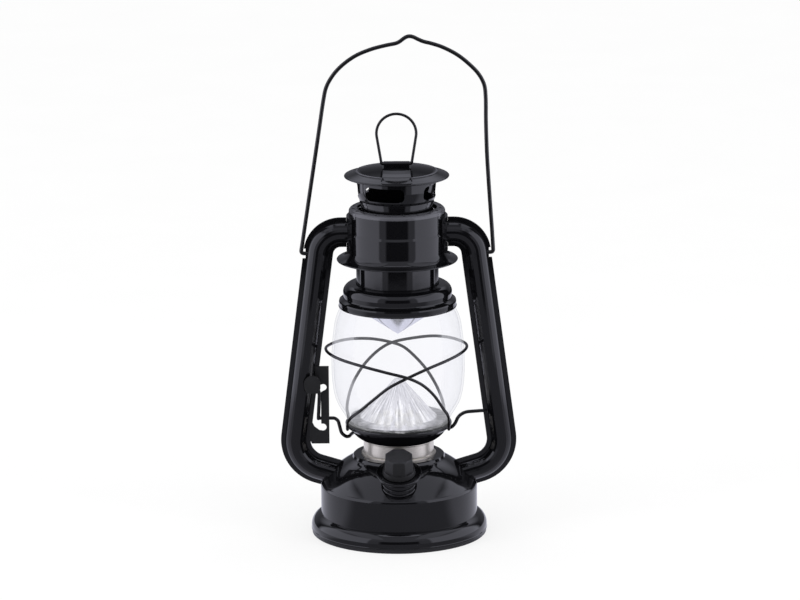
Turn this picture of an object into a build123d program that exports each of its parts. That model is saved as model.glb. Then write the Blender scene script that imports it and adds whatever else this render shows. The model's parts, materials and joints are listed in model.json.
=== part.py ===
from build123d import *
import math
import os

os.makedirs("parts", exist_ok=True)

# ---------------------------------------------------------------------------
# Battery camping lantern in the form of a tubular hurricane lamp.
# Millimetres.  +Z up, origin on the floor at the centre of the round foot,
# the dimmer knob faces -Y and the two side tubes stand at -X and +X.
# ---------------------------------------------------------------------------

# --- driving dimensions -----------------------------------------------------
sheet_t = 0.7              # enamelled steel sheet of crown, hood and globe plate
tank_t = 0.8               # heavier sheet of the tank
tube_t = 0.8               # side tube half shells

foot_r = 57.0              # outer radius of the moulded bottom cover
flare_r = 57.5             # widest radius of the tank skirt
tank_r = 51.1              # tank wall radius
tank_top_z = 31.4          # seam between tank wall and dome
plateau_z = 52.6           # flat top of the dome, under the steel collar

collar_r = 22.9            # brushed steel burner collar
collar_top_z = 62.8

plate_rim_r = 34.6         # globe plate rim
plate_rim_z = 73.6

globe_bottom_z = 71.95
globe_top_z = 155.4
globe_t = 1.3

cap_rim_r = 38.1           # ring that seats on top of the globe
cap_rim_z = 151.5
chimney_r = 26.7           # sliding inner chimney

bell_r = 32.0              # lower crown band
crown_r = 31.25            # upper crown band
crown_top_z = 217.0
flange_r = 39.3            # rim of the crown's bell
flange_z = 182.8

lid_r = 34.0
lid_rim_z = 237.2
lid_top_z = 242.6
eye_z = 245.2              # hinge axis of the small lift ring

tube_half_w = 9.65         # half width of a side tube over its seam flanges
tube_body_w = 6.9          # half width of the pressed body
tube_body_d = 7.6          # depth of each pressed half
tube_lean = 7.4            # degrees the straight run leans from vertical
tube_mouth_z = 200.4       # height of the tube where it enters the crown

bail_wire = 2.6
ring_wire = 1.8
guard_wire = 2.0
lift_wire_d = 2.3

bail_pivot_z = 186.5
lever_x, lever_z = 57.0, 80.0   # axis of the globe lift wire, along Y

neck_tilt = 20.0           # degrees the control neck leans forward
neck_origin = (0.0, -39.6, 37.6)

cell_r, cell_len = 17.1, 60.0
cell_y, cell_z = 17.6, 21.3


def soft_path(points, radii=None):
    """Lines joined by tangent arcs: the largest arc that fits, or the radius given."""
    pts = [Vector(*p) for p in points]
    start = pts[0]
    for i in range(1, len(pts) - 1):
        a, b, c = pts[i - 1], pts[i], pts[i + 1]
        u, v = (a - b).normalized(), (c - b).normalized()
        half = math.radians(u.get_angle(v)) / 2
        share_a = 0.98 if i == 1 else 0.45
        share_c = 0.98 if i == len(pts) - 2 else 0.45
        back = min(share_a * (a - b).length, share_c * (c - b).length)
        if radii is not None and radii[i - 1] is not None:
            back = min(back, radii[i - 1] / math.tan(half))
        r = back * math.tan(half)
        p0, p1 = b + u * back, b + v * back
        centre = b + (u + v).normalized() * (r / math.sin(half))
        mid = centre + (b - centre).normalized() * r
        if (p0 - start).length > 0.02:
            Line(start, p0)
            ThreePointArc(p0, mid, p1)
        else:
            ThreePointArc(start, mid, p1)
        start = p1
    Line(start, pts[-1])


def polar(r, deg, z):
    """Point at radius r, angle measured from -Y towards +X, height z."""
    a = math.radians(deg)
    return (r * math.sin(a), -r * math.cos(a), z)


neck_dir = (0, -math.sin(math.radians(neck_tilt)), math.cos(math.radians(neck_tilt)))


def neck_plane(t):
    """Plane square to the control neck, t millimetres up its axis."""
    o = tuple(neck_origin[i] + t * neck_dir[i] for i in range(3))
    return Plane(origin=o, x_dir=(1, 0, 0), z_dir=neck_dir)


# ===========================================================================
# Bottom cover, battery door, tray and cells
# ===========================================================================

# four cover screws, two on each long side of the door
screw_angles = (24.0, 156.0, 204.0, 336.0)


def screw_spots(r):
    return [(r * math.cos(math.radians(a)), r * math.sin(math.radians(a))) for a in screw_angles]


with BuildPart() as bottom_cover:
    with BuildSketch(Plane.XZ):
        with BuildLine():
            Polyline(
                (0, 1.8), (53.6, 1.8), (54.4, 0), (56.6, 0), (foot_r, 0.4),
                (foot_r, 2.6), (56.4, 2.6), (56.4, 3.9), (55.2, 3.9), (55.2, 3.6),
                (0, 3.6), (0, 1.8),
            )
        make_face()
    revolve(axis=Axis.Z)
    # opening for the door: main field, hinge bay and latch ear
    with BuildSketch(Plane.XY):
        RectangleRounded(70.8, 73.2, 3)
        with Locations((0, 38.6)):
            Rectangle(25.2, 6.0)
        with Locations((0, -39.2)):
            Rectangle(11.0, 6.0)
    extrude(amount=8, mode=Mode.SUBTRACT)
    # latch bracket above the door ear
    with BuildSketch(Plane.XY.offset(3.9)):
        with Locations((0, -41.9)):
            Rectangle(9.0, 9.8)
    extrude(amount=4.2)
    with BuildSketch(Plane.XY.offset(3.0)):
        with Locations((0, -44.6)):
            Rectangle(9.0, 4.4)
    extrude(amount=2.0)
    with BuildSketch(Plane.XY.offset(3.0)):
        with Locations((0, -39.0)):
            Circle(1.75)
    extrude(amount=6, mode=Mode.SUBTRACT)
    # hinge lugs on both sides of the bay
    with BuildSketch(Plane.YZ.offset(-12.4)):
        with Locations((39.2, 3.7)):
            Circle(1.9)
        with Locations((40.6, 2.9)):
            Rectangle(2.4, 2.0)
    extrude(amount=3.2)
    with BuildSketch(Plane.YZ.offset(9.2)):
        with Locations((39.2, 3.7)):
            Circle(1.9)
        with Locations((40.6, 2.9)):
            Rectangle(2.4, 2.0)
    extrude(amount=3.2)
    with BuildSketch(Plane.YZ.offset(-14)):
        with Locations((39.2, 3.7)):
            Circle(0.85)
    extrude(amount=28, mode=Mode.SUBTRACT)
    # four screw holes with recesses
    with BuildSketch(Plane.XY):
        with Locations(*screw_spots(47.5)):
            Circle(1.35)
    extrude(amount=8, mode=Mode.SUBTRACT)
bottom_cover.part.label = "bottom_cover"
export_step(bottom_cover.part, "parts/bottom_cover.step")

with BuildPart() as battery_door:
    with BuildSketch(Plane.XY.offset(1.8)):
        with Locations((0, -0.35)):
            RectangleRounded(70.0, 71.7, 2.7)
        with Locations((0, 36.8)):
            Rectangle(17.8, 3.4)
        with Locations((0, -38.6)):
            Rectangle(10.2, 6.4)
    extrude(amount=1.8)
    # grip ribs on the outside
    with BuildSketch(Plane.XY.offset(1.3)):
        with Locations((0, -30.0)):
            with GridLocations(0, 3.0, 1, 4):
                SlotOverall(26, 1.2)
    extrude(amount=0.6)
    # hinge knuckle
    with BuildSketch(Plane.YZ.offset(-8.9)):
        with Locations((39.2, 3.7)):
            Circle(1.8)
        with Locations((38.3, 2.85)):
            Rectangle(1.9, 1.5)
    extrude(amount=17.8)
    with BuildSketch(Plane.YZ.offset(-10)):
        with Locations((39.2, 3.7)):
            Circle(0.85)
    extrude(amount=20, mode=Mode.SUBTRACT)
    with BuildSketch(Plane.XY.offset(1.0)):
        with Locations((0, -39.0)):
            Circle(1.35)
    extrude(amount=4, mode=Mode.SUBTRACT)
battery_door.part.label = "battery_door"
export_step(battery_door.part, "parts/battery_door.step")

with BuildPart() as door_hinge_pin:
    with BuildSketch(Plane.YZ.offset(-12.3)):
        with Locations((39.2, 3.7)):
            Circle(0.8)
    extrude(amount=24.6)
door_hinge_pin.part.label = "door_hinge_pin"
export_step(door_hinge_pin.part, "parts/door_hinge_pin.step")

with BuildPart() as door_latch_screw:
    with BuildSketch(Plane.XY.offset(0.5)):
        with Locations((0, -39.0)):
            Circle(2.6)
    extrude(amount=1.28)
    with BuildSketch(Plane.XY.offset(1.7)):
        with Locations((0, -39.0)):
            Circle(1.25)
    extrude(amount=5.6)
    with BuildSketch(Plane.XY.offset(0.4)):
        with Locations((0, -39.0)):
            Rectangle(3.2, 0.7)
            Rectangle(0.7, 3.2)
    extrude(amount=0.8, mode=Mode.SUBTRACT)
door_latch_screw.part.label = "door_latch_screw"
export_step(door_latch_screw.part, "parts/door_latch_screw.step")

# Battery tray: fills the inside of the tank round two side-by-side D cells.
with BuildPart() as battery_tray:
    with BuildSketch(Plane.XZ):
        with BuildLine():
            Polyline(
                (0, 3.9), (49.2, 3.9), (49.2, 28.5), (44.6, 36.6), (37.6, 43.0),
                (0, 43.0), (0, 3.9),
            )
        make_face()
    revolve(axis=Axis.Z)
    with BuildSketch(Plane.XY.offset(3.9)):
        Rectangle(74.4, 73.4)
    extrude(amount=45, mode=Mode.INTERSECT)
    with BuildSketch(Plane.YZ.offset(-34.8)):
        with Locations((-cell_y, cell_z), (cell_y, cell_z)):
            Circle(cell_r + 0.5)
    extrude(amount=69.6, mode=Mode.SUBTRACT)
    with BuildSketch(Plane.XY.offset(3.0)):
        Rectangle(69.6, 70.4)
    extrude(amount=cell_z - 3.0, mode=Mode.SUBTRACT)
    # the wedge between the cells is cored out, leaving a rib for the centre nut
    with BuildSketch(Plane.XY.offset(36.9)):
        Circle(8.6)
    extrude(amount=4.2, mode=Mode.SUBTRACT)
    with BuildSketch(Plane.XY.offset(30)):
        Circle(5.2)
    extrude(amount=20, mode=Mode.SUBTRACT)
    # clearance round the control neck and its terminals
    with BuildSketch(neck_plane(-0.4)):
        Circle(12.5)
    extrude(amount=20, mode=Mode.SUBTRACT)
    with BuildSketch(neck_plane(-2.6)):
        Circle(9.6)
    extrude(amount=4, mode=Mode.SUBTRACT)
    # four screw posts
    with BuildSketch(Plane.XY.offset(3.9)):
        with Locations(*screw_spots(46.6)):
            Circle(2.5)
    extrude(amount=16)
    with BuildSketch(Plane.XY.offset(3.9)):
        for a in screw_angles:
            with PolarLocations(42.4, 1, start_angle=a):
                Rectangle(8.4, 2.6)
    extrude(amount=16)
    with BuildSketch(Plane.XY.offset(3.0)):
        Rectangle(69.6, 70.4)
    extrude(amount=cell_z - 3.0, mode=Mode.SUBTRACT)
    with BuildSketch(Plane.XY.offset(3.0)):
        with Locations(*screw_spots(47.5)):
            Circle(1.15)
    extrude(amount=12, mode=Mode.SUBTRACT)
battery_tray.part.label = "battery_tray"
export_step(battery_tray.part, "parts/battery_tray.step")

with BuildPart() as cover_screws:
    with BuildSketch(Plane.XY.offset(0.5)):
        with Locations(*screw_spots(47.5)):
            Circle(2.4)
    extrude(amount=1.28)
    with BuildSketch(Plane.XY.offset(1.7)):
        with Locations(*screw_spots(47.5)):
            Circle(1.1)
    extrude(amount=11)
    with BuildSketch(Plane.XY.offset(0.4)):
        with Locations(*screw_spots(47.5)):
            Rectangle(3.0, 0.6)
            Rectangle(0.6, 3.0)
    extrude(amount=0.8, mode=Mode.SUBTRACT)
cover_screws.part.label = "cover_screws"
export_step(cover_screws.part, "parts/cover_screws.step")

# Two D cells, opposite ways round: rolled can, crimped ends and positive nub.
with BuildPart() as battery_cells:
    for sx, sy in ((1, -1), (-1, 1)):
        with BuildSketch(Plane(origin=(sx * -27.4, sy * cell_y, cell_z), x_dir=(0, 1, 0), z_dir=(sx, 0, 0))):
            Circle(cell_r)
        extrude(amount=cell_len)
        with BuildSketch(Plane(origin=(sx * -27.4, sy * cell_y, cell_z), x_dir=(0, 1, 0), z_dir=(sx, 0, 0))):
            Circle(cell_r - 1.4)
        extrude(amount=0.6, mode=Mode.SUBTRACT)
        with BuildSketch(Plane(origin=(sx * (cell_len - 27.4), sy * cell_y, cell_z), x_dir=(0, 1, 0), z_dir=(sx, 0, 0))):
            Circle(cell_r - 1.6)
            Circle(6.4, mode=Mode.SUBTRACT)
        extrude(amount=-0.8, mode=Mode.SUBTRACT)
        with BuildSketch(Plane(origin=(sx * (cell_len - 27.5), sy * cell_y, cell_z), x_dir=(0, 1, 0), z_dir=(sx, 0, 0))):
            Circle(4.7)
        extrude(amount=1.6)
battery_cells.part.label = "battery_cells"
export_step(battery_cells.part, "parts/battery_cells.step")

with BuildPart() as contact_plates:
    for sx, sy in ((1, -1), (-1, 1)):
        with BuildSketch(Plane(origin=(sx * 34.2, sy * cell_y, cell_z), x_dir=(0, 1, 0), z_dir=(sx, 0, 0))):
            RectangleRounded(16, 14, 2)
        extrude(amount=0.5)
        with BuildSketch(Plane(origin=(sx * -34.2, sy * cell_y, cell_z), x_dir=(0, 1, 0), z_dir=(-sx, 0, 0))):
            RectangleRounded(16, 14, 2)
        extrude(amount=0.5)
contact_plates.part.label = "contact_plates"
export_step(contact_plates.part, "parts/contact_plates.step")

with BuildPart() as contact_springs:
    for sx, sy in ((1, -1), (-1, 1)):
        with BuildLine() as coil:
            Helix(pitch=1.9, height=5.2, radius=5.2, center=(sx * -33.6, sy * cell_y, cell_z), direction=(sx, 0, 0))
        with BuildSketch(Plane(origin=coil.line @ 0, z_dir=coil.line % 0)):
            Circle(0.45)
        sweep(path=coil.line, is_frenet=True)
contact_springs.part.label = "contact_springs"
export_step(contact_springs.part, "parts/contact_springs.step")

# ===========================================================================
# Tank
# ===========================================================================

with BuildPart() as tank_shell:
    with BuildSketch(Plane.XZ):
        with BuildLine():
            Polyline((flare_r, 2.7), (flare_r, 3.3), (57.35, 3.7), (57.35, 4.3))
            ThreePointArc((57.35, 4.3), (55.95, 9.7), (51.9, 12.6))
            Polyline((51.9, 12.6), (tank_r, 13.0), (tank_r, tank_top_z), (tank_r - tank_t, tank_top_z), (tank_r - tank_t, 12.5), (51.4, 11.85))
            ThreePointArc((51.4, 11.85), (55.2, 9.2), (56.7, 4.1))
            Polyline((56.7, 4.1), (56.7, 2.7), (flare_r, 2.7))
        make_face()
    revolve(axis=Axis.Z)
tank_shell.part.label = "tank_shell"
export_step(tank_shell.part, "parts/tank_shell.step")

# Dome: shoulder, convex top with a stepped plateau, raised seat for the neck.
with BuildPart() as tank_dome:
    with BuildSketch(Plane.XZ):
        with BuildLine():
            Polyline((50.2, 27.0), (50.2, 31.5))
            Polyline((49.4, 27.0), (50.2, 27.0))
            Polyline((50.2, 31.5), (tank_r, 31.5))
            ThreePointArc((tank_r, 31.5), (50.8, 32.65), (50.1, 33.6))
            ThreePointArc((50.1, 33.6), (42.2, 42.35), (30.9, 50.0))
            Polyline((30.9, 50.0), (30.2, 50.5), (29.6, 52.1), (28.9, plateau_z), (5.2, plateau_z), (5.2, plateau_z - 0.8), (28.6, plateau_z - 0.8), (29.5, 49.9), (30.4, 49.2))
            ThreePointArc((30.4, 49.2), (41.6, 41.75), (49.4, 33.0))
            Polyline((49.4, 33.0), (49.4, 27.0))
        make_face()
    revolve(axis=Axis.Z)
    # round opening for the sunken control seat
    with BuildSketch(neck_plane(-14)):
        Circle(11.5)
    extrude(amount=34, mode=Mode.SUBTRACT)
with BuildPart() as seat_inner_trim:
    with BuildSketch(Plane.XZ):
        with BuildLine():
            Polyline((0, 20), (0, 49.2), (30.4, 49.2))
            ThreePointArc((30.4, 49.2), (41.6, 41.75), (49.4, 33.0))
            Polyline((49.4, 33.0), (49.4, 20), (0, 20))
        make_face()
    revolve(axis=Axis.Z)
with BuildPart() as seat_outer_trim:
    with BuildSketch(Plane.XZ):
        with BuildLine():
            Polyline((0, 20), (50.2, 20), (50.2, 31.5), (tank_r, 31.5))
            ThreePointArc((tank_r, 31.5), (50.8, 32.65), (50.1, 33.6))
            ThreePointArc((50.1, 33.6), (42.2, 42.35), (30.9, 50.0))
            Polyline((30.9, 50.0), (0, 50.0), (0, 20))
        make_face()
    revolve(axis=Axis.Z)
# wall of the seat: sunk into the dome at the back, standing proud at the front
with BuildPart() as seat_wall_back:
    with BuildSketch(neck_plane(0.4)):
        Circle(11.95)
        Circle(11.2, mode=Mode.SUBTRACT)
    extrude(amount=16)
    add(seat_outer_trim.part, mode=Mode.INTERSECT)
with BuildPart() as seat_wall_front:
    with BuildSketch(neck_plane(-9)):
        Circle(11.95)
        Circle(11.2, mode=Mode.SUBTRACT)
    extrude(amount=10.2)
    add(seat_inner_trim.part, mode=Mode.SUBTRACT)
    # nothing of this ring hangs below the dome sheet
    with BuildSketch(Plane.XY.offset(20)):
        Rectangle(140, 140)
    extrude(amount=11.5, mode=Mode.SUBTRACT)
with BuildPart() as seat_floor:
    with BuildSketch(neck_plane(0.4)):
        Circle(11.95)
        Circle(8.9, mode=Mode.SUBTRACT)
    extrude(amount=0.8)
with tank_dome:
    add(seat_wall_back.part)
    add(seat_wall_front.part)
    add(seat_floor.part)
tank_dome.part.label = "tank_dome"
export_step(tank_dome.part, "parts/tank_dome.step")

# Envelope used to trim whatever lands on the tank.
with BuildPart() as tank_envelope:
    with BuildSketch(Plane.XZ):
        with BuildLine():
            Polyline((0, 0), (51.2, 0), (51.2, 31.5))
            ThreePointArc((51.2, 31.5), (50.9, 32.7), (50.2, 33.7))
            ThreePointArc((50.2, 33.7), (42.28, 42.43), (31.0, 50.1))
            Polyline((31.0, 50.1), (0, 50.1), (0, 0))
        make_face()
    revolve(axis=Axis.Z)

# ===========================================================================
# Control neck, potentiometer and dimmer knob
# ===========================================================================

with BuildPart() as control_neck:
    # straight sleeve
    with BuildSketch(neck_plane(1.25)):
        Circle(10.1)
        Circle(8.9, mode=Mode.SUBTRACT)
    extrude(amount=11.6)
    # raised thread beads
    for t in (2.2, 5.4, 8.6):
        with BuildSketch(neck_plane(t)):
            Circle(10.9)
            Circle(9.4, mode=Mode.SUBTRACT)
        extrude(amount=1.5)
    # closed top with the bushing hole
    with BuildSketch(neck_plane(11.75)):
        Circle(10.1)
        Circle(3.7, mode=Mode.SUBTRACT)
    extrude(amount=1.1)
    # base flange
    with BuildSketch(neck_plane(1.25)):
        Circle(11.0)
        Circle(8.9, mode=Mode.SUBTRACT)
    extrude(amount=0.6)
    fillet(control_neck.edges().filter_by(GeomType.CIRCLE).filter_by(lambda e: abs(e.radius - 10.9) < 0.01), radius=0.6)
control_neck.part.label = "control_neck"
export_step(control_neck.part, "parts/control_neck.step")

with BuildPart() as neck_flange:
    with BuildSketch(neck_plane(12.9)):
        Circle(14.7)
        Circle(3.7, mode=Mode.SUBTRACT)
    extrude(amount=0.9)
    with BuildSketch(neck_plane(13.7)):
        Circle(14.7)
        Circle(13.9, mode=Mode.SUBTRACT)
    extrude(amount=0.9)
    fillet(neck_flange.edges().filter_by(GeomType.CIRCLE).filter_by(lambda e: abs(e.radius - 14.7) < 0.01), radius=0.35)
neck_flange.part.label = "neck_flange"
export_step(neck_flange.part, "parts/neck_flange.step")

with BuildPart() as potentiometer:
    with BuildSketch(neck_plane(2.6)):
        Circle(8.2)
    extrude(amount=9.0)
    with BuildSketch(neck_plane(11.6)):
        Circle(3.5)
        Circle(3.05, mode=Mode.SUBTRACT)
    extrude(amount=5.4)
    with BuildSketch(neck_plane(2.7)):
        with Locations((-4, 2), (0, 2), (4, 2)):
            Rectangle(1.6, 0.5)
    extrude(amount=-3.6)
potentiometer.part.label = "potentiometer"
export_step(potentiometer.part, "parts/potentiometer.step")

with BuildPart() as potentiometer_nut:
    with BuildSketch(neck_plane(13.85)):
        RegularPolygon(5.9, 6)
        Circle(3.55, mode=Mode.SUBTRACT)
    extrude(amount=2.0)
potentiometer_nut.part.label = "potentiometer_nut"
export_step(potentiometer_nut.part, "parts/potentiometer_nut.step")

with BuildPart() as potentiometer_shaft:
    with BuildSketch(neck_plane(11.7)):
        Circle(3.0)
    extrude(amount=12.3)
    with BuildSketch(neck_plane(18.0)):
        with Locations((0, 2.6)):
            Rectangle(8, 1.6)
    extrude(amount=7, mode=Mode.SUBTRACT)
potentiometer_shaft.part.label = "potentiometer_shaft"
export_step(potentiometer_shaft.part, "parts/potentiometer_shaft.step")

with BuildPart() as dimmer_knob:
    # round skirt
    with BuildSketch(neck_plane(14.4)):
        Circle(10.8)
    with BuildSketch(neck_plane(17.6)):
        Circle(10.1)
    loft()
    # eight-sided grip with a slight taper
    with BuildSketch(neck_plane(17.6)):
        RegularPolygon(10.0, 8, rotation=22.5)
    with BuildSketch(neck_plane(27.2)):
        RegularPolygon(9.3, 8, rotation=22.5)
    loft()
    knob_corners = dimmer_knob.edges().filter_by(
        lambda e: 9.0 < e.length < 10.2 and abs((e % 0.5).Z) > 0.7
    )
    fillet(knob_corners, radius=1.4)
    fillet(dimmer_knob.faces().sort_by(Axis(neck_origin, neck_dir))[-1].edges(), radius=1.0)
    # hollow for the nut, then the bore for the shaft
    with BuildSketch(neck_plane(14.3)):
        Circle(7.2)
    extrude(amount=3.0, mode=Mode.SUBTRACT)
    with BuildSketch(neck_plane(17.2)):
        Circle(4.3)
    extrude(amount=0.6, mode=Mode.SUBTRACT)
    with BuildSketch(neck_plane(17.2)):
        Circle(3.05)
    extrude(amount=7.2, mode=Mode.SUBTRACT)
dimmer_knob.part.label = "dimmer_knob"
export_step(dimmer_knob.part, "parts/dimmer_knob.step")

# ===========================================================================
# Burner collar, centre nipple, lamp module
# ===========================================================================

with BuildPart() as burner_collar:
    with BuildSketch(Plane.XZ):
        with BuildLine():
            Polyline(
                (22.2, plateau_z + 0.05), (24.3, plateau_z + 0.05), (24.3, 53.3), (23.5, 53.5),
                (collar_r, 54.1), (collar_r, 61.7), (23.15, 61.9), (23.3, 62.25), (23.15, 62.6),
                (22.8, collar_top_z), (22.4, 62.7), (22.2, 62.4), (22.2, plateau_z + 0.05),
            )
        make_face()
    revolve(axis=Axis.Z)
burner_collar.part.label = "burner_collar"
export_step(burner_collar.part, "parts/burner_collar.step")

with BuildPart() as centre_nipple:
    with BuildSketch(Plane.XY.offset(35.5)):
        Circle(4.95)
        Circle(3.2, mode=Mode.SUBTRACT)
    extrude(amount=22.5)
    chamfer(centre_nipple.edges().filter_by(GeomType.CIRCLE).filter_by(lambda e: abs(e.radius - 4.95) < 0.01), length=0.4)
centre_nipple.part.label = "centre_nipple"
export_step(centre_nipple.part, "parts/centre_nipple.step")

with BuildPart() as nipple_nuts:
    with BuildSketch(Plane.XY.offset(37.1)):
        RegularPolygon(8.0, 6)
        Circle(5.0, mode=Mode.SUBTRACT)
    extrude(amount=3.7)
    with BuildSketch(Plane.XY.offset(plateau_z + 0.05)):
        RegularPolygon(8.0, 6)
        Circle(5.0, mode=Mode.SUBTRACT)
    extrude(amount=3.4)
nipple_nuts.part.label = "nipple_nuts"
export_step(nipple_nuts.part, "parts/nipple_nuts.step")

# sleeve that guides the lamp module up and down inside the collar
with BuildPart() as guide_sleeve:
    with BuildSketch(Plane.XY.offset(54.2)):
        Circle(22.12)
        Circle(20.6, mode=Mode.SUBTRACT)
    extrude(amount=8.75)
guide_sleeve.part.label = "guide_sleeve"
export_step(guide_sleeve.part, "parts/guide_sleeve.step")

with BuildPart() as led_holder:
    with BuildSketch(Plane.XY.offset(57.0)):
        Circle(20.5)
        Circle(19.0, mode=Mode.SUBTRACT)
    extrude(amount=14.6)
    with BuildSketch(Plane.XY.offset(71.4)):
        Circle(30.5)
        Circle(5.6, mode=Mode.SUBTRACT)
    extrude(amount=1.6)
led_holder.part.label = "led_holder"
export_step(led_holder.part, "parts/led_holder.step")

with BuildPart() as led_board:
    with BuildSketch(Plane.XY.offset(73.05)):
        Circle(29.5)
        with Locations((1.3, 0), (-1.3, 0)):
            Circle(0.62, mode=Mode.SUBTRACT)
    extrude(amount=1.5)
led_board.part.label = "led_board"
export_step(led_board.part, "parts/led_board.step")

with BuildPart() as led_leads:
    with BuildSketch(Plane.XY.offset(44.0)):
        with Locations((1.3, 0), (-1.3, 0)):
            Circle(0.55)
    extrude(amount=30.5)
led_leads.part.label = "led_leads"
export_step(led_leads.part, "parts/led_leads.step")

led_spots = [(15.5, 30 * k) for k in range(12)] + [(6.0, 120 * k + 30) for k in range(3)]
with BuildPart() as leds:
    for r, a in led_spots:
        x, y, _ = polar(r, a, 0)
        with BuildSketch(Plane.XY.offset(74.6)):
            with Locations((x, y)):
                Circle(2.5)
        extrude(amount=2.5)
        with Locations((x, y, 77.1)):
            Sphere(2.5, arc_size1=0)
leds.part.label = "leds"
export_step(leds.part, "parts/leds.step")

with BuildPart() as led_reflector:
    with BuildSketch(Plane.XY.offset(74.7)):
        Circle(30.5)
        for r, a in led_spots:
            x, y, _ = polar(r, a, 0)
            with Locations((x, y)):
                Circle(2.8, mode=Mode.SUBTRACT)
    extrude(amount=0.6)
led_reflector.part.label = "led_reflector"
export_step(led_reflector.part, "parts/led_reflector.step")


def star(r_out, r_in, n):
    """Corner points of a fluted circle with n ribs."""
    pts = []
    for k in range(n):
        a0 = 2 * math.pi * k / n
        a1 = 2 * math.pi * (k + 0.5) / n
        pts.append((r_out * math.cos(a0), r_out * math.sin(a0)))
        pts.append((r_in * math.cos(a1), r_in * math.sin(a1)))
    return pts


# Hollow clear cone with radial flutes that spreads the light of the LEDs.
with BuildPart() as prism_cone:
    with BuildSketch(Plane.XY.offset(77.3)):
        Polygon(*star(24.6, 23.5, 36), align=None)
    with BuildSketch(Plane.XY.offset(102.4)):
        Polygon(*star(2.75, 2.6, 36), align=None)
    loft(ruled=True)
    with BuildSketch(Plane.XY.offset(75.4)):
        Circle(31.2)
    extrude(amount=2.0)
    with BuildSketch(Plane.XZ):
        with BuildLine():
            Polyline((0, 75.3), (22.0, 75.3), (22.0, 76.6), (0.6, 100.0), (0, 100.0), (0, 75.3))
        make_face()
    revolve(axis=Axis.Z, mode=Mode.SUBTRACT)
prism_cone.part.label = "prism_cone"
export_step(prism_cone.part, "parts/prism_cone.step")

# ===========================================================================
# Globe plate, globe, guard wires
# ===========================================================================

with BuildPart() as globe_plate:
    with BuildSketch(Plane.XZ):
        with BuildLine():
            Polyline((20.6, 63.0), (24.2, 63.0))
            ThreePointArc((24.2, 63.0), (28.0, 65.5), (30.8, 68.7))
            Polyline(
                (30.8, 68.7), (33.3, 71.3), (34.2, 71.5), (plate_rim_r, 71.9), (plate_rim_r, 72.9), (34.75, 73.2),
                (34.6, 73.6), (34.2, 73.75), (33.85, 73.6), (33.8, 72.2), (33.4, 71.9), (31.4, 71.85),
                (30.7, 71.2), (30.0, 69.4),
            )
            ThreePointArc((30.0, 69.4), (27.2, 66.2), (24.0, 63.75))
            Polyline((24.0, 63.75), (20.6, 63.7), (20.6, 63.0))
        make_face()
    revolve(axis=Axis.Z)
globe_plate.part.label = "globe_plate"
export_step(globe_plate.part, "parts/globe_plate.step")

with BuildPart() as globe:
    with BuildSketch(Plane.XZ):
        with BuildLine():
            Line((32.9, globe_bottom_z), (32.9, 74.0))
            ThreePointArc((32.9, 74.0), (33.6, 76.3), (35.2, 79.6))
            Line((35.2, 79.6), (37.6, 83.4))
            ThreePointArc((37.6, 83.4), (41.3, 91.6), (42.9, 101.0))
            ThreePointArc((42.9, 101.0), (43.35, 112.0), (42.6, 128.3))
            ThreePointArc((42.6, 128.3), (41.2, 138.9), (38.2, 148.6))
            Polyline(
                (38.2, 148.6), (37.2, 150.6), (36.9, 152.0), (36.9, globe_top_z), (36.9 - globe_t, globe_top_z),
                (36.9 - globe_t, 151.8), (35.9, 150.2), (36.8, 148.2),
            )
            ThreePointArc((36.8, 148.2), (39.9, 138.7), (41.3, 128.2))
            ThreePointArc((41.3, 128.2), (42.05, 112.0), (41.6, 101.2))
            ThreePointArc((41.6, 101.2), (39.9, 92.1), (36.3, 84.2))
            Line((36.3, 84.2), (33.9, 80.3))
            ThreePointArc((33.9, 80.3), (32.3, 76.9), (31.6, 74.2))
            Polyline((31.6, 74.2), (31.6, globe_bottom_z), (32.9, globe_bottom_z))
        make_face()
    revolve(axis=Axis.Z)
globe.part.label = "globe"
export_step(globe.part, "parts/globe.step")

def guard_swell(z):
    """The rounded path runs a little inside its corner points."""
    return 0.0 if z < 76 else 0.35


# Angle round the lantern (from the front towards +X), height, radius.
guard_a_stations = (
    (66.0, 71.6, 35.72), (66.0, 74.2, 35.85), (60.5, 77.2, 37.3), (51.0, 83.2, 40.7), (41.0, 90.4, 43.4),
    (30.0, 101.0, 45.8), (19.5, 109.0, 46.6), (8.2, 114.0, 46.9), (-8.7, 117.8, 47.0), (-29.0, 120.9, 47.0),
    (-51.5, 122.6, 47.0), (-70.0, 123.2, 47.0), (-90.0, 122.9, 47.0), (-109.0, 121.9, 47.0),
    (-127.3, 121.3, 47.0), (-144.4, 120.2, 47.0), (-161.0, 118.2, 47.0), (-176.2, 115.0, 46.9),
    (-184.6, 112.2, 46.8), (-194.5, 105.6, 46.4), (-204.5, 98.0, 45.3), (-214.5, 89.8, 43.0),
    (-225.0, 82.4, 39.8), (-232.5, 77.4, 37.5), (-236.0, 74.2, 35.85), (-236.0, 71.6, 35.72),
)
guard_b_stations = (
    (-68.5, 71.6, 35.72), (-68.5, 74.2, 35.85), (-61.0, 77.4, 37.6), (-48.0, 83.6, 40.5), (-35.1, 89.9, 42.7),
    (-19.5, 99.9, 44.6), (-8.0, 107.2, 44.8), (6.5, 113.3, 44.78), (24.9, 118.8, 44.8), (44.0, 122.0, 44.8),
    (61.6, 123.6, 44.8), (80.0, 124.1, 44.8), (97.0, 123.7, 44.8), (111.6, 123.1, 44.8),
    (130.0, 122.6, 44.8), (148.2, 121.6, 44.8), (165.6, 119.2, 44.8), (184.6, 115.9, 44.8),
    (194.5, 112.2, 44.75), (205.0, 106.0, 44.8), (213.7, 99.6, 44.6), (224.0, 91.5, 43.1),
    (235.5, 82.6, 40.1), (243.0, 77.4, 37.8), (246.5, 74.2, 35.85), (246.5, 71.6, 35.72),
)
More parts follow.
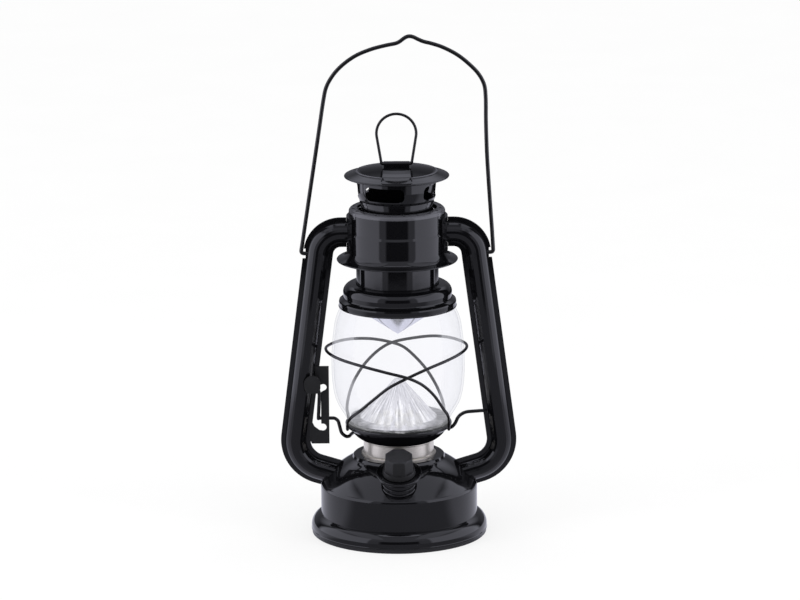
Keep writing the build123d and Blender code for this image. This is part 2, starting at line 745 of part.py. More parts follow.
with BuildPart() as guard_wire_a:
    with BuildLine() as guard_a_path:
        soft_path([polar(r + guard_swell(z), a, z) for a, z, r in guard_a_stations])
    with BuildSketch(Plane(origin=guard_a_path.line @ 0, z_dir=guard_a_path.line % 0)):
        Circle(guard_wire / 2)
    sweep(path=guard_a_path.line)
guard_wire_a.part.label = "guard_wire_a"
export_step(guard_wire_a.part, "parts/guard_wire_a.step")

with BuildPart() as guard_wire_b:
    with BuildLine() as guard_b_path:
        soft_path([polar(r + guard_swell(z), a, z) for a, z, r in guard_b_stations])
    with BuildSketch(Plane(origin=guard_b_path.line @ 0, z_dir=guard_b_path.line % 0)):
        Circle(guard_wire / 2)
    sweep(path=guard_b_path.line)
guard_wire_b.part.label = "guard_wire_b"
export_step(guard_wire_b.part, "parts/guard_wire_b.step")

# ===========================================================================
# Side tubes: four pressed half shells, welded along a flat seam
# ===========================================================================

lean = math.radians(tube_lean)
upper_c = (36.6, 185.8)                      # centre of the upper bend
upper_r = tube_mouth_z - upper_c[1]
upper_end = (upper_c[0] + upper_r * math.cos(lean), upper_c[1] + upper_r * math.sin(lean))
lower_r = 20.5
lower_start_z = 64.4
lower_start = (upper_end[0] + (upper_end[1] - lower_start_z) * math.tan(lean), lower_start_z)
lower_c = (lower_start[0] - lower_r * math.cos(lean), lower_start[1] - lower_r * math.sin(lean))
lower_turn = 107.0 - 7.4 + 0.0               # the foot ends pointing down and inward
end_dir_deg = 197.0                          # direction of the lower end in the XZ plane
end_normal = math.radians(end_dir_deg + 90.0)
lower_end = (lower_c[0] + lower_r * math.cos(end_normal), lower_c[1] + lower_r * math.sin(end_normal))
end_dir = (math.cos(math.radians(end_dir_deg)), math.sin(math.radians(end_dir_deg)))
mid_a = math.radians((90.0 + tube_lean) / 2.0)
upper_mid = (upper_c[0] + upper_r * math.cos(mid_a), upper_c[1] + upper_r * math.sin(mid_a))
mid_b = (lean + (end_normal - 2 * math.pi)) / 2.0
lower_mid = (lower_c[0] + lower_r * math.cos(mid_b), lower_c[1] + lower_r * math.sin(mid_b))

with BuildPart() as crown_trim:
    with BuildSketch(Plane.XY.offset(150)):
        Circle(32.9)
    extrude(amount=90)


def tube_section(side):
    """Half section, local x in the plane of the tube, local y = side * Y."""
    s = side
    n = 14
    outer = [
        (tube_body_w * math.cos(math.pi * k / n), s * (tube_t + (tube_body_d - tube_t) * math.sin(math.pi * k / n)))
        for k in range(n + 1)
    ]
    wi, di = tube_body_w - tube_t, tube_body_d - tube_t
    inner = [
        (wi * math.cos(math.pi * k / n), s * (di * math.sin(math.pi * k / n)))
        for k in range(n, -1, -1)
    ]
    return outer, inner


for side_name, sx in (("left", -1), ("right", 1)):
    for half_name, sy in (("front", -1), ("rear", 1)):
        outer, inner = tube_section(-sy)
        with BuildPart() as tube:
            with BuildLine() as tube_path:
                Line((sx * 29.0, 0, tube_mouth_z), (sx * upper_c[0], 0, tube_mouth_z))
                ThreePointArc(
                    (sx * upper_c[0], 0, tube_mouth_z),
                    (sx * upper_mid[0], 0, upper_mid[1]),
                    (sx * upper_end[0], 0, upper_end[1]),
                )
                Line((sx * upper_end[0], 0, upper_end[1]), (sx * lower_start[0], 0, lower_start[1]))
                ThreePointArc(
                    (sx * lower_start[0], 0, lower_start[1]),
                    (sx * lower_mid[0], 0, lower_mid[1]),
                    (sx * lower_end[0], 0, lower_end[1]),
                )
                Line(
                    (sx * lower_end[0], 0, lower_end[1]),
                    (sx * (lower_end[0] + 17 * end_dir[0]), 0, lower_end[1] + 17 * end_dir[1]),
                )
            # local x of the section is vertical, local y is -Y for the left side
            with BuildSketch(Plane(origin=(sx * 29.0, 0, tube_mouth_z), x_dir=(0, 0, 1), z_dir=(sx, 0, 0))):
                with BuildLine():
                    flip = sx
                    pts_out = [(x, flip * y * -1) for x, y in outer]
                    pts_in = [(x, flip * y * -1) for x, y in inner]
                    y_seam = 0.0
                    y_top = pts_out[0][1]
                    Polyline(
                        (tube_half_w, y_seam), (tube_half_w, y_top), *pts_out,
                        (-tube_half_w, y_top), (-tube_half_w, y_seam), *pts_in, (tube_half_w, y_seam),
                    )
                make_face()
            sweep(path=tube_path.line)
            add(crown_trim.part, mode=Mode.SUBTRACT)
            add(tank_envelope.part, mode=Mode.SUBTRACT)
            # eye for the bail end, through the outer wall with a nick in the seam flange
            with BuildSketch(Plane(origin=(sx * 54.5, 0, bail_pivot_z), x_dir=(0, 1, 0), z_dir=(sx, 0, 0))):
                Circle(1.36)
            extrude(amount=10, mode=Mode.SUBTRACT)
            with BuildSketch(Plane(origin=(sx * 59.4, 0, bail_pivot_z), x_dir=(0, 1, 0), z_dir=(sx, 0, 0))):
                Circle(3.4)
            extrude(amount=6, mode=Mode.SUBTRACT)
            # eye for the globe lift wire in the inner flange of the right tube
            if sx == 1:
                with BuildSketch(Plane(origin=(lever_x, -3, lever_z), x_dir=(1, 0, 0), z_dir=(0, 1, 0))):
                    Circle(1.2)
                extrude(amount=6, mode=Mode.SUBTRACT)
        tube.part.label = side_name + "_tube_" + half_name
        export_step(tube.part, "parts/" + side_name + "_tube_" + half_name + ".step")

    # curved saddle between the tube mouth and the crown
    with BuildPart() as saddle:
        with BuildSketch(Plane.XZ):
            with BuildLine():
                Polyline(
                    (32.08, 188.7), (32.82, 188.7), (32.82, 211.4), (31.35, 211.4), (31.35, 202.4),
                    (32.08, 201.0), (32.08, 188.7),
                )
            make_face()
        revolve(axis=Axis.Z, revolution_arc=54)
    saddle_solid = saddle.part.rotate(Axis.Z, -27.0 if sx == 1 else 153.0)
    saddle_solid.label = side_name + "_tube_saddle"
    export_step(saddle_solid, "parts/" + side_name + "_tube_saddle.step")

# ===========================================================================
# Lever plate and globe lift wire with its thumb tab
# ===========================================================================

with BuildPart() as lever_plate:
    with BuildSketch(Plane(origin=(0, -0.86, 0), x_dir=(1, 0, 0), z_dir=(0, -1, 0))):
        with BuildLine():
            Polyline(
                (-45.2, 59.5), (-45.2, 111.5), (-53.7, 111.5), (-55.6, 98.0), (-58.3, 76.5), (-58.0, 62.0),
                (-56.6, 59.5), (-45.2, 59.5),
            )
        make_face()
        # J-shaped guide slot with a detent at each end
        with BuildLine():
            Polyline((-54.2, 99.2), (-51.2, 99.2), (-50.5, 97.6), (-50.5, 73.2), (-51.4, 71.6), (-55.2, 71.6), (-56.2, 73.6), (-56.2, 76.6), (-54.2, 94.6), (-54.2, 99.2))
        make_face(mode=Mode.SUBTRACT)
        with BuildLine():
            Polyline((-56.2, 75.5), (-55.0, 71.0), (-51.6, 68.4), (-49.6, 68.2), (-50.4, 73.4), (-53.0, 76.0), (-56.2, 75.5))
        make_face(mode=Mode.SUBTRACT)
        with Locations((-49.4, 70.5)):
            Circle(2.4, mode=Mode.SUBTRACT)
        with BuildLine():
            Polyline((-51.0, 99.0), (-49.2, 99.4), (-47.0, 97.4), (-48.2, 95.2), (-50.8, 93.8), (-51.0, 99.0))
        make_face(mode=Mode.SUBTRACT)
        with Locations((-48.9, 97.3)):
            Circle(2.2, mode=Mode.SUBTRACT)
    extrude(amount=1.0)
lever_plate.part.label = "lever_plate"
export_step(lever_plate.part, "parts/lever_plate.step")

lift_points = [
    (lever_x, -2.6, lever_z), (lever_x, 2.15, lever_z), (53.5, 2.15, 79.8), (43.6, 2.15, 79.1), (39.2, 2.15, 76.4),
    (37.0, 2.4, 71.2), (34.6, 2.9, 68.5), (32.3, 4.2, 68.0),
]
half_loop = []
for k in range(1, 12):
    a = math.radians(180.0 * k / 12.0)
    x, y = 32.25 * math.cos(a), 32.25 * math.sin(a)
    half_loop.append((x, y, 68.0 if x >= 0 else 68.0 + 0.1612 * x))
lift_tail = [
    (-32.3, 3.6, 62.8), (-34.4, 1.2, 63.2), (-37.4, 0.6, 65.8), (-39.4, 0.6, 74.2), (-41.6, 0.6, 76.0),
    (-52.3, 0.6, 76.0), (-52.3, -3.6, 76.6), (-51.3, -3.6, 95.6), (-53.0, -6.3, 98.9),
]
lift_radii = [1.9, 3.0, 3.0, 2.2, 2.2] + [None] * 12 + [2.2, 2.2, 2.2, 2.2, 1.6, 1.6, 2.0]
with BuildPart() as lift_wire:
    with BuildLine() as lift_path:
        soft_path(lift_points + half_loop + lift_tail, None)
    with BuildSketch(Plane(origin=lift_path.line @ 0, z_dir=lift_path.line % 0)):
        Circle(lift_wire_d / 2)
    sweep(path=lift_path.line)
lift_wire.part.label = "lift_wire"
export_step(lift_wire.part, "parts/lift_wire.step")

with BuildPart() as thumb_tab:
    with BuildSketch(Plane(origin=(0, -8.75, 0), x_dir=(1, 0, 0), z_dir=(0, -1, 0))):
        with BuildLine():
            Polyline((-59.0, 95.2), (-52.6, 95.2), (-50.6, 98.4), (-50.6, 101.6))
            ThreePointArc((-50.6, 101.6), (-55.9, 106.9), (-61.2, 101.6))
            Polyline((-61.2, 101.6), (-60.9, 98.0), (-59.0, 95.2))
        make_face()
    extrude(amount=1.3)
    # welding lug that reaches back to the end of the wire
    with BuildSketch(Plane(origin=(0, -7.55, 0), x_dir=(1, 0, 0), z_dir=(0, -1, 0))):
        with Locations((-53.0, 98.9)):
            RectangleRounded(3.2, 3.4, 0.8)
    extrude(amount=1.6)
thumb_tab.part.label = "thumb_tab"
export_step(thumb_tab.part, "parts/thumb_tab.step")

# ===========================================================================
# Crown
# ===========================================================================

with BuildPart() as crown_body:
    with BuildSketch(Plane.XZ):
        with BuildLine():
            Polyline((crown_r, 214.0), (crown_r, 201.9), (bell_r, 200.4), (bell_r, 188.4))
            ThreePointArc((bell_r, 188.4), (33.6, 185.4), (36.6, 183.7))
            Line((36.6, 183.7), (flange_r - 0.2, flange_z + 0.2))
            Polyline((flange_r - 0.2, flange_z + 0.2), (flange_r, flange_z - 0.1), (flange_r - 0.1, flange_z - 0.5), (flange_r - 0.6, flange_z - 0.6), (37.0, flange_z + 0.1))
            ThreePointArc((37.0, flange_z + 0.1), (33.1, 184.8), (bell_r - sheet_t, 188.6))
            Polyline((bell_r - sheet_t, 188.6), (bell_r - sheet_t, 200.0), (crown_r - sheet_t, 201.5), (crown_r - sheet_t, 214.0), (crown_r, 214.0))
        make_face()
    revolve(axis=Axis.Z)
crown_body.part.label = "crown_body"
export_step(crown_body.part, "parts/crown_body.step")

with BuildPart() as crown_top_ring:
    with BuildSketch(Plane.XZ):
        with BuildLine():
            Polyline((crown_r - sheet_t, 214.02), (crown_r, 214.02), (crown_r, 214.3))
            RadiusArc((crown_r, 214.3), (crown_r - 2.7, crown_top_z), -2.7)
            Polyline((crown_r - 2.7, crown_top_z), (26.3, crown_top_z), (25.9, 216.8), (25.9, 216.5), (26.3, 216.3), (crown_r - 2.7, 216.3))
            RadiusArc((crown_r - 2.7, 216.3), (crown_r - sheet_t, 214.3), 2.0)
            Polyline((crown_r - sheet_t, 214.3), (crown_r - sheet_t, 214.02))
        make_face()
    revolve(axis=Axis.Z)
    with BuildSketch(Plane.XY.offset(213)):
        with PolarLocations(28.5, 20, start_angle=9):
            Circle(1.2)
    extrude(amount=6, mode=Mode.SUBTRACT)
crown_top_ring.part.label = "crown_top_ring"
export_step(crown_top_ring.part, "parts/crown_top_ring.step")

with BuildPart() as crown_guide_ring:
    with BuildSketch(Plane.XY.offset(188.8)):
        Circle(31.25)
        Circle(27.0, mode=Mode.SUBTRACT)
    extrude(amount=0.8)
crown_guide_ring.part.label = "crown_guide_ring"
export_step(crown_guide_ring.part, "parts/crown_guide_ring.step")

# ===========================================================================
# Sliding hood: cap, chimney, cone reflector, vent collar, lid, strap, ring
# ===========================================================================

with BuildPart() as globe_cap:
    with BuildSketch(Plane.XZ):
        with BuildLine():
            Polyline((26.75, 162.6), (27.45, 162.6), (27.45, 165.4), (28.0, 165.95), (29.4, 165.75))
            ThreePointArc((29.4, 165.75), (33.3, 164.35), (34.7, 160.8))
            Polyline(
                (34.7, 160.8), (34.5, 157.6), (34.75, 156.4), (35.3, 155.5), (37.1, 155.5), (37.4, 155.2),
                (37.4, 154.2), (37.4, 151.6), (37.75, 151.3), (38.3, 151.4), (38.4, 151.9), (cap_rim_r, 152.3), (cap_rim_r, 154.8),
                (37.9, 155.75), (36.0, 157.0), (35.4, 157.5), (35.2, 158.0), (35.4, 160.8),
            )
            ThreePointArc((35.4, 160.8), (33.85, 164.85), (29.5, 166.5))
            Polyline((29.5, 166.5), (27.9, 166.75), (27.1, 166.6), (26.75, 166.2), (26.75, 162.6))
        make_face()
    revolve(axis=Axis.Z)
globe_cap.part.label = "globe_cap"
export_step(globe_cap.part, "parts/globe_cap.step")

with BuildPart() as inner_chimney:
    with BuildSketch(Plane.XZ):
        with BuildLine():
            Polyline(
                (26.0, 161.5), (chimney_r, 161.5), (chimney_r, 190.0), (29.5, 190.2), (29.5, 190.9), (chimney_r, 190.9),
                (chimney_r, 194.0), (26.2, 195.2), (23.6, 196.6), (23.3, 197.4), (23.3, 224.0),
                (22.6, 224.0), (22.6, 197.0), (23.1, 196.1), (25.6, 194.8), (26.0, 193.9), (26.0, 161.5),
            )
        make_face()
    revolve(axis=Axis.Z)
inner_chimney.part.label = "inner_chimney"
export_step(inner_chimney.part, "parts/inner_chimney.step")

with BuildPart() as cone_reflector:
    with BuildSketch(Plane.XZ):
        with BuildLine():
            Polyline((0, 132.4), (25.4, 149.6), (25.95, 150.6), (25.95, 164.0), (25.45, 164.0), (25.45, 150.8), (25.0, 150.1), (0, 133.1), (0, 132.4))
        make_face()
    revolve(axis=Axis.Z)
cone_reflector.part.label = "cone_reflector"
export_step(cone_reflector.part, "parts/cone_reflector.step")

with BuildPart() as hood_spring:
    with BuildLine() as spring_path:
        Helix(pitch=4.05, height=23.4, radius=28.0, center=(0, 0, 191.75))
    with BuildSketch(Plane(origin=spring_path.line @ 0, z_dir=spring_path.line % 0)):
        Circle(0.7)
    sweep(path=spring_path.line, is_frenet=True)
hood_spring.part.label = "hood_spring"
export_step(hood_spring.part, "parts/hood_spring.step")

with BuildPart() as vent_collar:
    with BuildSketch(Plane.XZ):
        with BuildLine():
            Polyline((23.4, 220.6), (24.1, 220.6), (24.1, 222.0))
            ThreePointArc((24.1, 222.0), (25.5, 225.8), (26.1, 230.0))
            Polyline((26.1, 230.0), (26.1, 239.6), (25.4, 239.6), (25.4, 230.1))
            ThreePointArc((25.4, 230.1), (24.8, 226.1), (23.4, 222.3))
            Polyline((23.4, 222.3), (23.4, 220.6))
        make_face()
    revolve(axis=Axis.Z)
    for win in (-20.0, 72.6, 163.0, 254.0):
        wx, wy, _ = polar(1.0, win, 0)
        with BuildSketch(Plane(origin=(wx * 14, wy * 14, 229.1), x_dir=(-wy, wx, 0), z_dir=(wx, wy, 0))):
            RectangleRounded(26.8, 9.0, 3.6)
        extrude(amount=16, mode=Mode.SUBTRACT)
vent_collar.part.label = "vent_collar"
export_step(vent_collar.part, "parts/vent_collar.step")

lid_outer = (
    (lid_r, 237.6), (33.6, 238.25), (30.0, 239.4), (27.0, 240.35), (25.9, 240.9), (25.2, 241.05),
    (24.5, 240.75), (23.6, 240.65), (19.0, 241.35), (12.0, 242.1), (6.0, 242.48), (0, lid_top_z),
)
with BuildPart() as hood_lid:
    with BuildSketch(Plane.XZ):
        with BuildLine():
            Polyline(
                (0, lid_top_z - 0.7), (6.0, 241.78), (12.0, 241.4), (19.0, 240.65), (23.4, 239.95), (26.6, 239.72), (29.8, 238.75),
                (33.2, 237.55), (33.4, 237.2), (33.75, 237.1), *lid_outer, (0, lid_top_z - 0.7),
            )
        make_face()
    revolve(axis=Axis.Z)
hood_lid.part.label = "hood_lid"
export_step(hood_lid.part, "parts/hood_lid.step")

# strap: follows the lid from rim to rim, front to back, 18.5 wide
strap_low = [(r, z + 0.06) for r, z in lid_outer[1:]]
strap_high = [(0, lid_top_z + 0.86)] + [(r + 0.1, z + 0.86) for r, z in lid_outer[-2:1:-1]] + [(33.75, 239.0)]
with BuildPart() as ring_strap:
    with BuildSketch(Plane.XZ):
        with BuildLine():
            Polyline(*strap_low, *strap_high, strap_low[0])
        make_face()
    revolve(axis=Axis.Z)
    with BuildSketch(Plane.XY.offset(230)):
        Rectangle(18.6, 80)
    extrude(amount=20, mode=Mode.INTERSECT)
    # rolled eye that holds the ring
    with BuildSketch(Plane.YZ.offset(-8.3)):
        with Locations((0, eye_z)):
            Circle(1.8)
        with Locations((0, eye_z - 1.4)):
            Rectangle(2.0, 1.4)
    extrude(amount=16.6)
    with BuildSketch(Plane.YZ.offset(-12)):
        with Locations((0, eye_z)):
            Circle(0.97)
    extrude(amount=24, mode=Mode.SUBTRACT)
ring_strap.part.label = "ring_strap"
export_step(ring_strap.part, "parts/ring_strap.step")

ring_c, ring_r = (0.0, 265.2), 12.8
ring_px = 9.7
ring_d = math.hypot(ring_px, eye_z - ring_c[1])
ring_t = math.atan2(eye_z - ring_c[1], ring_px) + math.acos(ring_r / ring_d)
ring_touch = (ring_r * math.cos(ring_t), ring_c[1] + ring_r * math.sin(ring_t))
with BuildPart() as lift_ring:
    with BuildLine() as ring_path:
        soft_path([(-3.0, 0, eye_z), (-ring_px, 0, eye_z), (-ring_touch[0], 0, ring_touch[1])], [1.3])
        ThreePointArc((-ring_touch[0], 0, ring_touch[1]), (0, 0, ring_c[1] + ring_r), (ring_touch[0], 0, ring_touch[1]))
        soft_path([(ring_touch[0], 0, ring_touch[1]), (ring_px, 0, eye_z), (3.0, 0, eye_z)], [1.3])
    with BuildSketch(Plane(origin=ring_path.line @ 0, z_dir=ring_path.line % 0)):
        Circle(ring_wire / 2)
    sweep(path=ring_path.line)
lift_ring.part.label = "lift_ring"
export_step(lift_ring.part, "parts/lift_ring.step")

# ===========================================================================
# Bail: one hand-bent wire, both ends hooked into the side tubes
# ===========================================================================

bail_corners = [
    (-56.4, bail_pivot_z), (-62.4, bail_pivot_z), (-42.4, 314.9), (0.9, 323.57), (8.8, 329.6), (18.9, 325.0),
    (58.2, 315.1), (58.35, 262.0), (62.45, bail_pivot_z), (56.4, bail_pivot_z),
]
bail_radii = [1.45, 41.6, 8.0, 5.6, 14.0, 40.3, 200.0, 1.45]
with BuildPart() as bail:
    with BuildLine() as bail_path:
        soft_path([(x, 0, z) for x, z in bail_corners], bail_radii)
    with BuildSketch(Plane(origin=bail_path.line @ 0, z_dir=bail_path.line % 0)):
        Circle(bail_wire / 2)
    sweep(path=bail_path.line)
bail.part.label = "bail"
export_step(bail.part, "parts/bail.step")
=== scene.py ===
import json
import math

import bmesh
import bpy
from mathutils import Matrix, Vector


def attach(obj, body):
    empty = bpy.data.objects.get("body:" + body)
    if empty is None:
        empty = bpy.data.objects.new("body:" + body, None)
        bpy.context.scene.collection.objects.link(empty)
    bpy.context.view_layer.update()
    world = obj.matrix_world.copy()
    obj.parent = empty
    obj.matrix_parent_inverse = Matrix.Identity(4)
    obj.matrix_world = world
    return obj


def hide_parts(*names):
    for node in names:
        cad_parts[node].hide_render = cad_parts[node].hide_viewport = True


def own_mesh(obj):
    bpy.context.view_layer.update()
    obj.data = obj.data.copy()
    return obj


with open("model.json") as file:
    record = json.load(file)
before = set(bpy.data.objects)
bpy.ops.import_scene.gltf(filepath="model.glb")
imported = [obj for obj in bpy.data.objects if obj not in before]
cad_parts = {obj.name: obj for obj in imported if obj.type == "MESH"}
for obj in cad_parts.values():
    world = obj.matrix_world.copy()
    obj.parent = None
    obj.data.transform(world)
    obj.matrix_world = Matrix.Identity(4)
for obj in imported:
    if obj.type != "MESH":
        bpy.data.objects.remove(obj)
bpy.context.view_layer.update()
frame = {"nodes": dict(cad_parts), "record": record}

nodes = frame["nodes"]
record = frame["record"]
MM = 0.001

# ---------------------------------------------------------------------------
# node helpers
# ---------------------------------------------------------------------------


def new_material(name):
    m = bpy.data.materials.new(name)
    m.use_nodes = True
    nt = m.node_tree
    nt.nodes.clear()
    out = nt.nodes.new("ShaderNodeOutputMaterial")
    return m, nt, out


def add(nt, kind, **kw):
    n = nt.nodes.new(kind)
    for k, v in kw.items():
        if k in n.inputs:
            n.inputs[k].default_value = v
        else:
            setattr(n, k, v)
    return n


def link(nt, a, b):
    nt.links.new(a, b)


def noise(nt, vec, scale, detail=4.0, rough=0.55):
    n = nt.nodes.new("ShaderNodeTexNoise")
    n.inputs["Scale"].default_value = scale
    n.inputs["Detail"].default_value = detail
    n.inputs["Roughness"].default_value = rough
    link(nt, vec, n.inputs["Vector"])
    return n


def ramp(nt, fac, stops):
    r = nt.nodes.new("ShaderNodeValToRGB")
    els = r.color_ramp.elements
    els[0].position, els[0].color = stops[0][0], stops[0][1]
    els[1].position, els[1].color = stops[-1][0], stops[-1][1]
    for p, c in stops[1:-1]:
        e = els.new(p)
        e.color = c
    link(nt, fac, r.inputs["Fac"])
    return r


def grey(v, a=1.0):
    return (v, v, v, a)


def mapr(nt, val, a, b, c, d, smooth=False):
    m = nt.nodes.new("ShaderNodeMapRange")
    m.interpolation_type = "SMOOTHSTEP" if smooth else "LINEAR"
    m.inputs["From Min"].default_value = a
    m.inputs["From Max"].default_value = b
    m.inputs["To Min"].default_value = c
    m.inputs["To Max"].default_value = d
    link(nt, val, m.inputs["Value"])
    return m


def math_node(nt, op, a, b=None):
    m = nt.nodes.new("ShaderNodeMath")
    m.operation = op
    for i, v in enumerate((a, b)):
        if v is None:
            continue
        if isinstance(v, (int, float)):
            m.inputs[i].default_value = v
        else:
            link(nt, v, m.inputs[i])
    return m


def bump(nt, height, strength, distance, normal=None):
    b = nt.nodes.new("ShaderNodeBump")
    b.inputs["Strength"].default_value = strength
    b.inputs["Distance"].default_value = distance
    link(nt, height, b.inputs["Height"])
    if normal is not None:
        link(nt, normal, b.inputs["Normal"])
    return b


def edge_wear(nt, width=0.0006):
    """1 on sharp edges, 0 elsewhere, from the bevelled normal."""
    bev = nt.nodes.new("ShaderNodeBevel")
    bev.samples = 4
    bev.inputs["Radius"].default_value = width
    geo = nt.nodes.new("ShaderNodeNewGeometry")
    dot = nt.nodes.new("ShaderNodeVectorMath")
    dot.operation = "DOT_PRODUCT"
    link(nt, bev.outputs["Normal"], dot.inputs[0])
    link(nt, geo.outputs["Normal"], dot.inputs[1])
    return mapr(nt, dot.outputs["Value"], 0.80, 0.995, 1.0, 0.0, True)


def object_coords(nt):
    return nt.nodes.new("ShaderNodeTexCoord").outputs["Object"]


# ---------------------------------------------------------------------------
# materials
# ---------------------------------------------------------------------------


def enamel(name, base=0.0030, rough=0.055, peel=0.012, tint=(1.0, 1.0, 1.25), lid=False, dull_below=None):
    m, nt, out = new_material(name)
    co = object_coords(nt)
    p = add(nt, "ShaderNodeBsdfPrincipled")
    cloud = noise(nt, co, 26.0, 3.0)
    dust = noise(nt, co, 1900.0, 2.0)
    speck = ramp(nt, dust.outputs["Fac"], [(0.70, grey(0)), (0.80, grey(1))])
    col = ramp(nt, cloud.outputs["Fac"], [
        (0.3, (base * 0.85 * tint[0], base * 0.85 * tint[1], base * 0.85 * tint[2], 1)),
        (0.7, (base * 1.15 * tint[0], base * 1.15 * tint[1], base * 1.15 * tint[2], 1)),
    ])
    mix = add(nt, "ShaderNodeMix", data_type="RGBA")
    link(nt, col.outputs["Color"], mix.inputs["A"])
    mix.inputs["B"].default_value = (0.022, 0.022, 0.025, 1)
    fac = math_node(nt, "MULTIPLY", speck.outputs["Color"], 0.18)
    link(nt, fac.outputs[0], mix.inputs["Factor"])
    wear = edge_wear(nt, 0.0005)
    mix2 = add(nt, "ShaderNodeMix", data_type="RGBA")
    link(nt, mix.outputs["Result"], mix2.inputs["A"])
    mix2.inputs["B"].default_value = (0.016, 0.016, 0.019, 1)
    wf = math_node(nt, "MULTIPLY", wear.outputs[0], 0.4)
    link(nt, wf.outputs[0], mix2.inputs["Factor"])
    link(nt, mix2.outputs["Result"], p.inputs["Base Color"])
    if lid:
        # the dish inside the bead gets a low specular level so it stays dark; a lighter base colour on the bead is a
        # painted highlight along its crest
        sep = add(nt, "ShaderNodeSeparateXYZ")
        link(nt, co, sep.inputs[0])
        x2 = math_node(nt, "MULTIPLY", sep.outputs["X"], sep.outputs["X"])
        y2 = math_node(nt, "MULTIPLY", sep.outputs["Y"], sep.outputs["Y"])
        rad = math_node(nt, "SQRT", math_node(nt, "ADD", x2.outputs[0], y2.outputs[0]).outputs[0])
        spec = mapr(nt, rad.outputs[0], 0.0235, 0.0252, 0.035, 0.5, True)
        link(nt, spec.outputs[0], p.inputs["Specular IOR Level"])
        bead_in = mapr(nt, rad.outputs[0], 0.0251, 0.0257, 0.0, 1.0, True)
        bead_out = mapr(nt, rad.outputs[0], 0.0262, 0.0268, 0.85, 0.0, True)
        bead_painted_highlight = math_node(nt, "MULTIPLY", bead_in.outputs[0], bead_out.outputs[0])
        # painted highlight: a light grey base colour is mixed in on the bead
        mix3 = add(nt, "ShaderNodeMix", data_type="RGBA")
        link(nt, mix2.outputs["Result"], mix3.inputs["A"])
        mix3.inputs["B"].default_value = (0.085, 0.085, 0.102, 1)
        link(nt, bead_painted_highlight.outputs[0], mix3.inputs["Factor"])
        link(nt, mix3.outputs["Result"], p.inputs["Base Color"])
    if dull_below:
        sepz = add(nt, "ShaderNodeSeparateXYZ")
        link(nt, co, sepz.inputs[0])
        dull = mapr(nt, sepz.outputs["Z"], dull_below - 0.0008, dull_below + 0.0008, 0.0, 0.5, True)
        link(nt, dull.outputs[0], p.inputs["Specular IOR Level"])
    smear = noise(nt, co, 60.0, 5.0)
    r = mapr(nt, smear.outputs["Fac"], 0.3, 0.7, rough * 0.75, rough * 1.5)
    link(nt, r.outputs[0], p.inputs["Roughness"])
    p.inputs["IOR"].default_value = 1.52
    peel_n = noise(nt, co, 330.0, 2.0)
    wav = noise(nt, co, 55.0, 2.0)
    b1 = bump(nt, wav.outputs["Fac"], 0.035, 0.0008)
    b2 = bump(nt, peel_n.outputs["Fac"], peel, 0.0003, b1.outputs["Normal"])
    link(nt, b2.outputs["Normal"], p.inputs["Normal"])
    link(nt, p.outputs[0], out.inputs["Surface"])
    return m


def plastic(name, base, rough=0.45, grain=0.25, scale=2600.0, spec=0.5):
    m, nt, out = new_material(name)
    co = object_coords(nt)
    p = add(nt, "ShaderNodeBsdfPrincipled")
    cloud = noise(nt, co, 90.0, 4.0)
    c0 = tuple(v * 0.88 for v in base) + (1,)
    c1 = tuple(v * 1.14 for v in base) + (1,)
    col = ramp(nt, cloud.outputs["Fac"], [(0.3, c0), (0.7, c1)])
    wear = edge_wear(nt, 0.0005)
    mix = add(nt, "ShaderNodeMix", data_type="RGBA")
    link(nt, col.outputs["Color"], mix.inputs["A"])
    mix.inputs["B"].default_value = tuple(min(1.0, v * 1.7 + 0.01) for v in base) + (1,)
    wf = math_node(nt, "MULTIPLY", wear.outputs[0], 0.45)
    link(nt, wf.outputs[0], mix.inputs["Factor"])
    link(nt, mix.outputs["Result"], p.inputs["Base Color"])
    g = noise(nt, co, scale, 3.0)
    r = mapr(nt, g.outputs["Fac"], 0.3, 0.7, rough * 0.85, rough * 1.2)
    link(nt, r.outputs[0], p.inputs["Roughness"])
    p.inputs["Specular IOR Level"].default_value = spec
    b = bump(nt, g.outputs["Fac"], grain, 0.00012)
    link(nt, b.outputs["Normal"], p.inputs["Normal"])
    link(nt, p.outputs[0], out.inputs["Surface"])
    return m


def metal(name, base, rough=0.25, streak=(1.0, 1.0, 1.0), scale=900.0, grain=0.2, radial=False):
    """Metal with brushing: streak gives the stretch of the noise on each axis."""
    m, nt, out = new_material(name)
    tc = object_coords(nt)
    p = add(nt, "ShaderNodeBsdfPrincipled")
    p.inputs["Metallic"].default_value = 1.0
    if radial:
        sep = add(nt, "ShaderNodeSeparateXYZ")
        link(nt, tc, sep.inputs[0])
        ang = math_node(nt, "ARCTAN2", sep.outputs["Y"], sep.outputs["X"])
        comb = add(nt, "ShaderNodeCombineXYZ")
        a = math_node(nt, "MULTIPLY", ang.outputs[0], 0.010)
        link(nt, a.outputs[0], comb.inputs["X"])
        link(nt, sep.outputs["Z"], comb.inputs["Z"])
        vec = comb.outputs[0]
        st = add(nt, "ShaderNodeMapping")
        st.inputs["Scale"].default_value = (0.35, 1, 3.2)
        link(nt, vec, st.inputs["Vector"])
        vec = st.outputs[0]
    else:
        st = add(nt, "ShaderNodeMapping")
        st.inputs["Scale"].default_value = streak
        link(nt, tc, st.inputs["Vector"])
        vec = st.outputs[0]
    n = noise(nt, vec, scale, 6.0, 0.7)
    c0 = tuple(v * 0.86 for v in base) + (1,)
    c1 = tuple(min(1.0, v * 1.08) for v in base) + (1,)
    col = ramp(nt, n.outputs["Fac"], [(0.3, c0), (0.7, c1)])
    link(nt, col.outputs["Color"], p.inputs["Base Color"])
    r = mapr(nt, n.outputs["Fac"], 0.3, 0.7, rough * 0.75, rough * 1.35)
    link(nt, r.outputs[0], p.inputs["Roughness"])
    b = bump(nt, n.outputs["Fac"], grain, 0.00006)
    link(nt, b.outputs["Normal"], p.inputs["Normal"])
    link(nt, p.outputs[0], out.inputs["Surface"])
    return m


